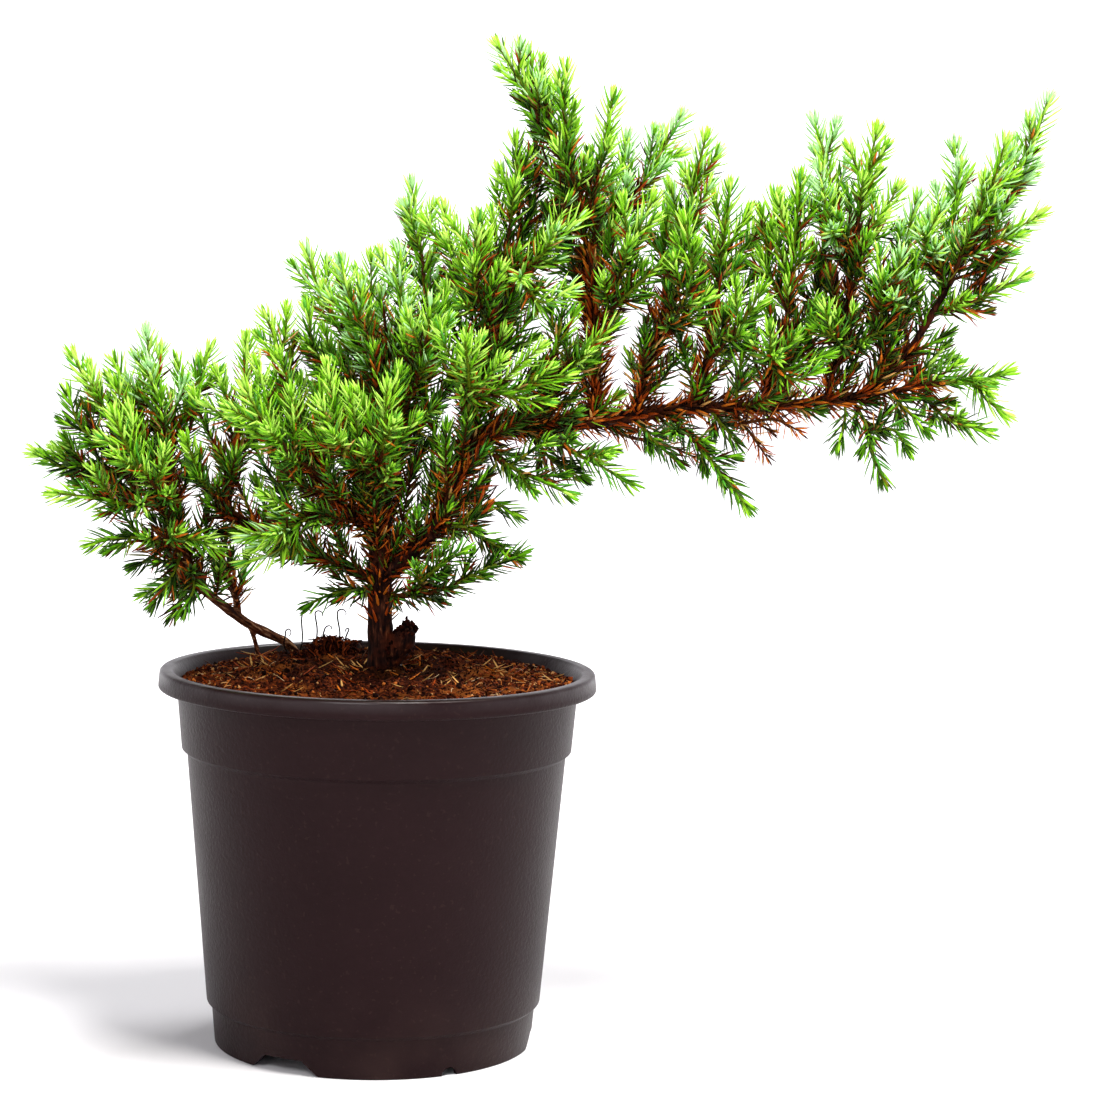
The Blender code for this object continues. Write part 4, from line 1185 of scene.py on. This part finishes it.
def grow_leader(heap, foliage, shoot, reach, rng, tone_of, dead, first):
    """A leader's stem and needles, and its side shoots, which shorten towards the tip."""
    to_tip = shoot.length - shoot.along
    radii = leader_radii(to_tip)
    woody = to_tip > (0 if dead else 22)
    stem_into(heap, shoot.centres, radii, np.where(woody, BROWN_STEM, GREEN_STEM), 7)
    start = BARE_TWIG if first else 0.5
    on_leader, on_side = DEAD if dead else LIVE
    set_needles(foliage, shoot, rng, start, LEADER_PITCH, stem_radius=LEADER_RADIUS, tone_of=tone_of,
                **on_leader)
    distance, turn = start + 1.0, rng.uniform(0, math.tau)
    longest = max(reach - 1.2, 1.5) / 0.58
    while distance < shoot.length - BARE_TIP:
        share = distance / shoot.length
        length = longest * np.interp(share, (0, 0.15, 0.5, 0.8, 1), (0.7, 1.0, 0.95, 0.65, 0.4))
        length *= rng.uniform(0.75, 1.4)
        length *= 1 + 0.22 * shoot.outward(np.array(distance), np.array(turn))[2]
        if length > 2.5 and rng.random() > (0.5 if dead else 0.06):
            branch = side_shoot(shoot, distance, turn, length, rng)
            stem_into(heap, branch.centres, np.linspace(0.42, 0.22, len(branch.centres)),
                      np.full(len(branch.centres), BROWN_STEM if dead else GREEN_STEM))
            set_needles(foliage, branch, rng, 1.2, SIDE_PITCH, stem_radius=SIDE_RADIUS, tone_of=tone_of,
                        **on_side)
        distance += rng.uniform(2.9, 4.4)
        turn += GOLDEN_ANGLE + rng.normal(0, 0.2)


all_wood = np.vstack([curve[:, :3] for curve in wood_curves + side_curves[:1]])
grown = []
for number, ((name, reach, *marks), routes) in enumerate(routes_in(SPRAYS)):
    rng = np.random.default_rng(900 + number)
    dead = name.startswith("dead")
    condition = USUAL | {word: float(value) for word, value in (mark.split("=") for mark in marks)}
    tone_of = dead_tones() if dead else green_tones(**condition)
    heap, foliage = Heap(), Foliage()
    parents = all_wood
    for route in routes:
        route[0] = nearest_on(route[0], parents)
        shoot = Shoot(smooth_route(route, ROUTE_SPACING))
        grow_leader(heap, foliage, shoot, float(reach), rng, tone_of, dead, parents is all_wood)
        if parents is all_wood:
            parents = shoot.centres
    grown.append((name + "_needles", heap, foliage, dead, [name]))
print("shoots grown on", len(grown), "sprays")

# %% [markdown]
# ## Needles that died on the wood
#
# The older a stem, the more of its needles are dead, and they stay on for years and clothe
# it in rust and orange. They grow out of the same whorls, so the same tool sets them, with
# more in a whorl, a ragged lean and dead tones.

# %% Rust coat
DEAD_COATS = [
    # stem, from and to (shares of its length), pitch, needles in a whorl, length, share of brown
    (0, 0.36, 1.00, 1.2, 5, 6.6, 0.15), (1, 0.02, 0.36, 1.2, 5, 6.2, 0.25),
    (1, 0.30, 0.88, 1.05, 5, 6.4, 0.30), (2, 0.0, 1.0, 1.2, 5, 6.2, 0.3),
    (3, 0.0, 0.95, 0.85, 6, 7.0, 0.0), (4, 0.0, 1.0, 1.1, 5, 6.4, 0.15),
    (5, 0.0, 1.0, 1.2, 5, 6.4, 0.2), (6, 0.0, 1.0, 1.2, 5, 6.2, 0.25), (7, 0.0, 1.0, 1.2, 5, 6.2, 0.25),
    (8, 0.0, 1.0, 1.3, 4, 5.6, 0.3), (9, 0.15, 1.0, 1.2, 5, 6.4, 0.2),
    (10, 0.05, 1.0, 1.3, 5, 6.2, 0.3),
]
SIDE_COATS = [(0, 0.55, 1.0, 1.2, 5, 6.0, 0.35), (1, 0.2, 1.0, 1.4, 4, 5.6, 0.3)]


def grow_coat(name, curves, coats, seed):
    """Dead needles along lengths of stem."""
    heap, foliage = Heap(), Foliage()
    rng = np.random.default_rng(seed)
    for index, start, end, pitch, per_whorl, length, brown in coats:
        last = len(curves[index]) - 1
        part = curves[index][int(start * last):max(int(end * last), 2) + 1]
        weights = np.array([0.46, 0.30, 0.08, 0.16]) * (1 - brown) + np.array([0.1, 0, 0.1, 0.8]) * brown
        set_needles(foliage, Shoot(part[:, :3]), rng, 0.3, pitch, length, float(part[:, 3].mean()) * 0.9,
                    dead_tones(weights / weights.sum()), per_whorl=per_whorl, width=0.95, bow=0.03,
                    ragged=16)
    grown.append((name, heap, foliage, True, []))


grow_coat("dead_needles_on_limb", wood_curves, DEAD_COATS, 31)
grow_coat("dead_needles_on_side_stem", side_curves, SIDE_COATS, 32)
print("coats of dead needles on", len(DEAD_COATS) + len(SIDE_COATS), "lengths of stem")

# %% [markdown]
# ## Short shoots on old wood
#
# Between the sprays the old wood breaks into short shoots of its own. They stand in shade,
# so they are darker, and half of their needles have died. They fill the middle of the
# crown, so that it reads as one mass and not as single plumes.

# %% Filling shoots
SPUR_RUNS = [
    # stem, from and to (shares of its length), spacing, length, light, share dying
    (0, 0.42, 0.98, 2.2, 20, 0.42, 0.5), (1, 0.04, 0.34, 2.4, 16, 0.38, 0.7),
    (1, 0.34, 0.80, 6.0, 11, 0.40, 0.7), (1, 0.80, 1.0, 4.5, 13, 0.50, 0.3),
    (2, 0.05, 1.0, 2.6, 18, 0.50, 0.35), (3, 0.62, 1.0, 3.2, 15, 0.48, 0.4),
    (3, 0.05, 0.60, 9.0, 8, 0.30, 1.3), (4, 0.1, 1.0, 4.0, 14, 0.44, 0.6),
    (5, 0.1, 1.0, 3.6, 14, 0.46, 0.5), (6, 0.15, 1.0, 3.6, 13, 0.46, 0.5),
    (7, 0.1, 1.0, 3.8, 14, 0.46, 0.5), (8, 0.1, 1.0, 5.0, 11, 0.40, 0.5),
    (9, 0.12, 1.0, 3.2, 16, 0.44, 0.5), (10, 0.1, 1.0, 2.6, 18, 0.48, 0.4),
]
SIDE_SPURS = [(0, 0.5, 1.0, 3.4, 13, 0.46, 0.5), (1, 0.3, 1.0, 4.5, 9, 0.34, 0.9)]


def grow_spurs(name, curves, runs, seed):
    """Short shoots along lengths of stem, each further round it than the one before."""
    heap, foliage = Heap(), Foliage()
    rng = np.random.default_rng(seed)
    for index, start, end, spacing, length, light, dying in runs:
        stem = Shoot(curves[index][:, :3])
        distance, turn = start * stem.length, rng.uniform(0, math.tau)
        while distance < end * stem.length:
            out = stem.outward(np.array(distance), np.array(turn))
            long = length * rng.uniform(0.55, 1.25) * (1 + 0.3 * out[2])
            shoot = side_shoot(stem, distance, turn, long, rng, 50, 0.75)
            stem_into(heap, shoot.centres, np.linspace(0.5, 0.24, len(shoot.centres)),
                      np.full(len(shoot.centres), BROWN_STEM))
            # Spurs that point upwards take lighter tones: painted light from above.
            set_needles(foliage, shoot, rng, 1.0, SIDE_PITCH, NEEDLE_LENGTH * 0.88, 0.3,
                        green_tones(light + 0.14 * out[2], dying), lean=0.95, width=0.9)
            distance += spacing * rng.uniform(0.7, 1.3)
            turn += GOLDEN_ANGLE + rng.normal(0, 0.3)
    grown.append((name, heap, foliage, False, []))


grow_spurs("spur_needles", wood_curves, SPUR_RUNS, 51)
grow_spurs("side_spur_needles", side_curves, SIDE_SPURS, 52)

FILLING_SHOOTS = """
6: 43 -3 76, 48 -9 88, 51 -12 100, 53 -14 114; 47 -8 84, 58 -12 96, 68 -13 106
4: 96 0 82, 100 -6 77, 104 -9 72
5: 103 0 86, 105 -4 94, 108 -6 103
6: 128 2 102, 128 6 112, 129 9 122, 130 11 132
6: 145 0 92, 146 -5 104, 145 -8 116, 144 -10 128
5: 74 2 79, 80 -4 72, 87 -7 66
5: 44 -2 72, 50 -8 66, 59 -12 61
5: 136 0 85, 136 -5 79, 134 -8 72
5: 148 -1 88, 153 -6 83, 159 -9 77
6: 38 2 122, 42 8 134, 44 11 147, 44 13 160
5: -58 9 40, -66 5 35, -73 3 31
5: -56 9 36, -62 2 28, -67 0 20
6: -14 2 82, -18 -4 94, -22 -6 108
6: -80 4 60, -86 -2 70, -92 -5 82
5: -86 6 58, -93 2 60, -99 0 63
5: 80 0 118, 82 6 130, 84 9 144
4: -52 6 30, -55 0 25, -58 -3 19
5: 172 0 124, 178 3 126, 184 4 129
5: 122 0 92, 124 -6 100, 125 -8 108
"""
heap, foliage = Heap(), Foliage()
for number, ((reach,), routes) in enumerate(routes_in(FILLING_SHOOTS)):
    rng = np.random.default_rng(700 + number)
    for route in routes:
        route[0] = nearest_on(route[0], all_wood)
        # Low shoots take darker tones: a painted shade under the crown.
        tone_of = green_tones(0.20 if route[-1, 2] < POT_HEIGHT + 82 else 0.46, 0.5)
        grow_leader(heap, foliage, Shoot(smooth_route(route, ROUTE_SPACING)), float(reach), rng, tone_of,
                    False, True)
grown.append(("filling_shoot_needles", heap, foliage, False, []))

# %% Mesh the needles, shaded by how crowded they stand
crowding = Crowding(np.vstack([needle_middles(np.vstack(foliage.rows))
                               for _, _, foliage, _, _ in grown]))
rng = np.random.default_rng(77)
needle_total = 0
for name, heap, foliage, dead, replaced in grown:
    needle_total += foliage.mesh_into(heap, shaded_tones)
    set_in_pot(name, heap.mesh(name), dead_leaf if dead else green_leaf,
               replaced)
print("needles:", needle_total)

# %% [markdown]
# ## Loose coir, fibres and perlite
#
# What makes potting mix look real is its loose top. Each crumb is an icosahedron knocked
# out of shape, and each fibre a thin curved tube. Both are strewn with a seeded generator
# and set down on the height of the mix.

# %% Tones of the loose mix
MIX_TONES = [
    (0.006, 0.001, 0.0005), (0.026, 0.004, 0.002), (0.080, 0.015, 0.004), (0.20, 0.036, 0.007),
    (0.40, 0.11, 0.020), (0.54, 0.27, 0.10), (0.66, 0.47, 0.26), (0.80, 0.76, 0.70),
]
SOOT, DARK_PITH, PITH, RED_PITH, ORANGE_PITH, STRAW, PALE_STRAW, PERLITE = range(8)


loose = Finish("loose_coir", Specular_IOR_Level=0.03)
tone, along, across, _ = chart(loose, MIX_TONES)
shaded = loose.mixed((1 - across) * 0.5, tone, (0.006, 0.001, 0.0005))
worn = loose.mixed((along - 0.5).to_unit(0.1, 0.5) * 0.22, shaded, (0.48, 0.16, 0.05))
loose_mix = loose.wear(Base_Color=worn, Roughness=0.86 - across * 0.12)

# %% Crumbs
golden = (1 + math.sqrt(5)) / 2
CRUMB_POINTS = unit(np.array([
    (-1, golden, 0), (1, golden, 0), (-1, -golden, 0), (1, -golden, 0), (0, -1, golden), (0, 1, golden),
    (0, -1, -golden), (0, 1, -golden), (golden, 0, -1), (golden, 0, 1), (-golden, 0, -1),
    (-golden, 0, 1)]))
CRUMB_FACES = np.array([
    (0, 11, 5), (0, 5, 1), (0, 1, 7), (0, 7, 10), (0, 10, 11), (1, 5, 9), (5, 11, 4), (11, 10, 2),
    (10, 7, 6), (7, 1, 8), (3, 9, 4), (3, 4, 2), (3, 2, 6), (3, 6, 8), (3, 8, 9), (4, 9, 5), (2, 4, 11),
    (6, 2, 10), (8, 6, 7), (9, 8, 1)])


def random_turns(rng, count):
    """Random rotation matrices, from unit quaternions."""
    a, b, c, d = unit(rng.normal(size=(count, 4))).T
    rows = [[1 - 2 * (c * c + d * d), 2 * (b * c - a * d), 2 * (b * d + a * c)],
            [2 * (b * c + a * d), 1 - 2 * (b * b + d * d), 2 * (c * d - a * b)],
            [2 * (b * d - a * c), 2 * (c * d + a * b), 1 - 2 * (b * b + c * c)]]
    return np.stack([np.stack(row, axis=-1) for row in rows], axis=1)


def crumbs_into(heap, places, sizes, tones, rng, squash=(0.55, 1.0)):
    """Angular crumbs: each an icosahedron with its corners knocked in or out."""
    count = len(places)
    shapes = CRUMB_POINTS[None] * rng.uniform(0.62, 1.2, (count, 12, 1))
    shapes = shapes * rng.uniform(*squash, (count, 1, 3)) * sizes[:, None, None]
    points = np.einsum("nij,nkj->nki", random_turns(rng, count), shapes) + places[:, None]
    height = shapes[:, CRUMB_FACES, 2] / sizes[:, None, None] * 0.5 + 0.5
    spots = row_places(tones[:, None, None], np.clip(height, 0, 1),
                       np.clip(shapes[:, CRUMB_FACES, 0] / sizes[:, None, None] * 0.4 + 0.45, 0.02, 0.98),
                       len(MIX_TONES))
    faces = CRUMB_FACES[None] + (np.arange(count) * 12)[:, None, None]
    heap.add(points.reshape(-1, 3), (faces.reshape(-1, 3), spots))


def strewn(rng, count, most_out=0.985):
    """Places spread evenly over the round top, on its surface."""
    out = np.sqrt(rng.random(count)) * top_inside * most_out
    turn = rng.random(count) * math.tau
    x, y = out * np.cos(turn), out * np.sin(turn)
    return np.column_stack([x, y, mix_height(x, y)])


def shares_at(places, dark_shares, light_shares):
    """Chooses a tone for each place: the middle of the mix is dark, and its two sides lighter."""
    light = np.clip((np.abs(places[:, 0]) - 24) / 22, 0, 1)[:, None]
    shares = np.array(dark_shares) * (1 - light) + np.array(light_shares) * light
    picked = rng.random((len(places), 1)) > np.cumsum(shares, axis=1)[:, :-1]
    return picked.sum(axis=1).astype(float)


rng = np.random.default_rng(61)
crumb_heap = Heap()
CRUMB_COUNT = 8000
places = strewn(rng, CRUMB_COUNT, 0.99)
sizes = rng.lognormal(math.log(0.42), 0.42, CRUMB_COUNT).clip(0.2, 1.5)
tones = shares_at(places, (0.36, 0.34, 0.18, 0.08, 0.03, 0.01), (0.20, 0.24, 0.22, 0.17, 0.12, 0.05))
# Painted shade: most crumbs close round the trunk's foot are soot-dark.
shaded_near_trunk = np.hypot(places[:, 0] - 4, places[:, 1] - 2) < 16
tones = np.where(shaded_near_trunk & (rng.random(CRUMB_COUNT) < 0.8), SOOT, tones)
places[:, 2] += sizes * 0.25
crumbs_into(crumb_heap, places, sizes, tones, rng)
grains = np.array([(5.8, 22, 0.6), (4.8, 30, 0.5), (6.4, 8, 0.45)])  # x, y and size of the perlite
grain_places = np.column_stack([grains[:, :2], mix_height(grains[:, 0], grains[:, 1]) + 0.5])
crumbs_into(crumb_heap, grain_places, grains[:, 2], np.full(len(grains), float(PERLITE)), rng, (0.8, 1.0))
# Crumbs heaped on the old stump give it a rough outline, and their near-black tones are a painted shade.
STUMP_CRUMBS = 170
on_stump = wood_curves[-1][rng.integers(2, len(wood_curves[-1]), STUMP_CRUMBS)]
away = unit(rng.normal(size=(STUMP_CRUMBS, 3)) * (1, 1, 0.7) + (0, -0.25, 0.35))
stump_places = on_stump[:, :3] + away * on_stump[:, 3:] * rng.uniform(0.75, 1.25, (STUMP_CRUMBS, 1))
stump_shade_tones = rng.choice([SOOT, DARK_PITH, PITH], STUMP_CRUMBS, p=[0.7, 0.25, 0.05])
crumbs_into(crumb_heap, stump_places, rng.uniform(0.5, 1.7, STUMP_CRUMBS), stump_shade_tones, rng, (0.4, 0.9))
set_in_pot("mix_crumbs", crumb_heap.mesh("mix_crumbs"), loose_mix)
print("crumbs:", CRUMB_COUNT + len(grains), "on the mix and", STUMP_CRUMBS, "on the old stump")

# %% Fibres
def fibre_into(heap, centres, radius, tone):
    """A fibre of five sides, thinning to both ends."""
    share = np.linspace(0, 1, len(centres))
    radii = radius * (0.35 + 0.65 * np.sin(np.pi * np.clip(share, 0.02, 0.98)) ** 0.4)
    points, quads, fans = rings(centres[:, None] + spokes(centres, 5)[0] * radii[:, None, None])
    heap.add(points, *[(faces, row_places(tone, 0.75, 0.3, len(MIX_TONES)) * np.ones((*faces.shape, 2)))
                       for faces in (quads, fans)])


def strand(start, turn, length, rng, lift, curl, steps=6):
    """A wandering path: it sets off at a turn, rises by lift, bends by curl and comes down."""
    path = [start]
    step = length / steps
    direction = unit(np.array([math.cos(turn), math.sin(turn), lift]))
    axis = unit(rng.normal(size=3) + UP)
    for _ in range(steps):
        direction = unit(direction + np.cross(axis, direction) * curl * 2 + rng.normal(0, 0.14, 3)
                         - UP * lift * 0.44)
        path.append(path[-1] + direction * step)
    return np.array(path)


rng = np.random.default_rng(62)
fibre_heap = Heap()
FIBRE_COUNT = 1500
starts = strewn(rng, FIBRE_COUNT, 0.95)
fibre_tones = shares_at(starts, (0.30, 0.30, 0.20, 0.12, 0.05, 0.02, 0.01),
                        (0.06, 0.16, 0.16, 0.20, 0.18, 0.16, 0.08))
for start, tone in zip(starts, fibre_tones):
    turn = rng.random() * math.tau
    length = float(np.clip(rng.lognormal(1.3, 0.4), 2, 7))
    path = strand(start + UP * 0.2, turn, length, rng, rng.uniform(0.05, 0.6), rng.normal(0, 0.06))
    out = np.hypot(path[:, 0], path[:, 1])
    if out.max() < top_inside - 0.5:
        path[:, 2] = np.maximum(path[:, 2], mix_height(path[:, 0], path[:, 1]) + 0.1)
        fibre_into(fibre_heap, path, rng.uniform(0.06, 0.14), tone)

TUFT = (-17.0, 30.0)  # a tuft of coir stands up left of the trunk, and curled hairs rise from it


def upright(x, y, height, lean, hook, steps):
    """A hair that rises from the mix, wavers and hooks over at its top."""
    base = float(mix_height(np.array([x]), np.array([y]))[0])
    share = np.linspace(0, 1, steps)
    hooked = np.clip((share - 0.7) / 0.3, 0, 1) * math.radians(230)
    return np.column_stack([
        x + lean * height * share + hook * (1 - np.cos(hooked)) + 0.4 * np.sin(share * 9 + x),
        y + 0.5 * np.cos(share * 7 + x),
        base - 0.6 + height * np.minimum(share, 0.7) / 0.7 + abs(hook) * np.sin(hooked),
    ])


TUFT_COUNT = 420
for _ in range(TUFT_COUNT):
    x, y = np.array(TUFT) + rng.normal(0, 1, 2) * (4.4, 3.2)
    height = rng.uniform(1.5, 6.0) * math.exp(-(((x - TUFT[0]) / 8.5) ** 2))
    path = upright(x, y, height, rng.normal(0, 0.5), rng.normal(0, 0.5), 8)
    tone = rng.choice([SOOT, DARK_PITH, PITH, RED_PITH], p=[0.22, 0.34, 0.28, 0.16])
    fibre_into(fibre_heap, path, rng.uniform(0.16, 0.38), tone)
CURLED_HAIRS = [  # x, y, height it reaches, lean to the right, size of the hook
    (-26, 30, 14, 0.12, 0.8), (-21, 28, 13.5, 0.02, 1.0), (-14, 29, 13, 0.0, 1.0), (-30, 32, 7, -0.2, 1.3),
    (-12, 30, 7.5, 0.15, -0.6), (-19, 33, 9, 0.1, 0.7),
]
for hair in CURLED_HAIRS:
    fibre_into(fibre_heap, upright(*hair, 24), 0.26, SOOT)
set_in_pot("coir_fibres", fibre_heap.mesh("coir_fibres"), loose_mix)
print("fibres:", FIBRE_COUNT, "on the mix and", TUFT_COUNT, "in the tuft")

# %% Fallen needles and scraps
fallen = Foliage()
rng = np.random.default_rng(63)
FALLEN_COUNT = 150
spots = strewn(rng, FALLEN_COUNT, 0.92)
SPRIGS = [(-6, 4, 2.2, 14), (-9, -2, 1.8, 10), (38, 10, 2.6, 16), (-38, 14, 2.6, 14), (10, 16, 3.0, 14)]
for x, y, spread, count in SPRIGS:  # place, how far its needles lie, and how many
    near = np.column_stack([rng.normal(x, spread, count), rng.normal(y, spread, count)])
    spots = np.vstack([spots, np.column_stack([near, mix_height(near[:, 0], near[:, 1])])])
turn, rise = rng.uniform(0, math.tau, len(spots)), rng.uniform(0.02, 0.5, len(spots))
along = np.column_stack([np.cos(turn) * np.cos(rise), np.sin(turn) * np.cos(rise), np.sin(rise)])
upper = unit(np.cross(along, np.cross(UP, along)))
tones = rng.choice([RUST, ORANGE, TAN, UMBER, BROWN_STEM], len(spots), p=[0.25, 0.2, 0.2, 0.2, 0.15])
tones = np.where(np.arange(len(spots)) >= FALLEN_COUNT, np.where(tones == UMBER, TAN, tones), tones)
fallen.add(spots + UP * 0.35, along, upper, rng.uniform(3.5, 6.5, len(spots)), 0.62, tones, 0.08)
fallen_heap = Heap()
fallen.mesh_into(fallen_heap)
set_in_pot("fallen_needles", fallen_heap.mesh("fallen_needles"), dead_leaf)
print("fallen needles:", len(spots))

# %% [markdown]
# ## Size and finish
#
# Both boxes are kept, so that they can be compared.

# %% Keep both boxes and finish
visual_box = [list(corner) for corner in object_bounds()]
print("visual box in mm", [[round(value / MM, 1) for value in corner] for corner in visual_box])
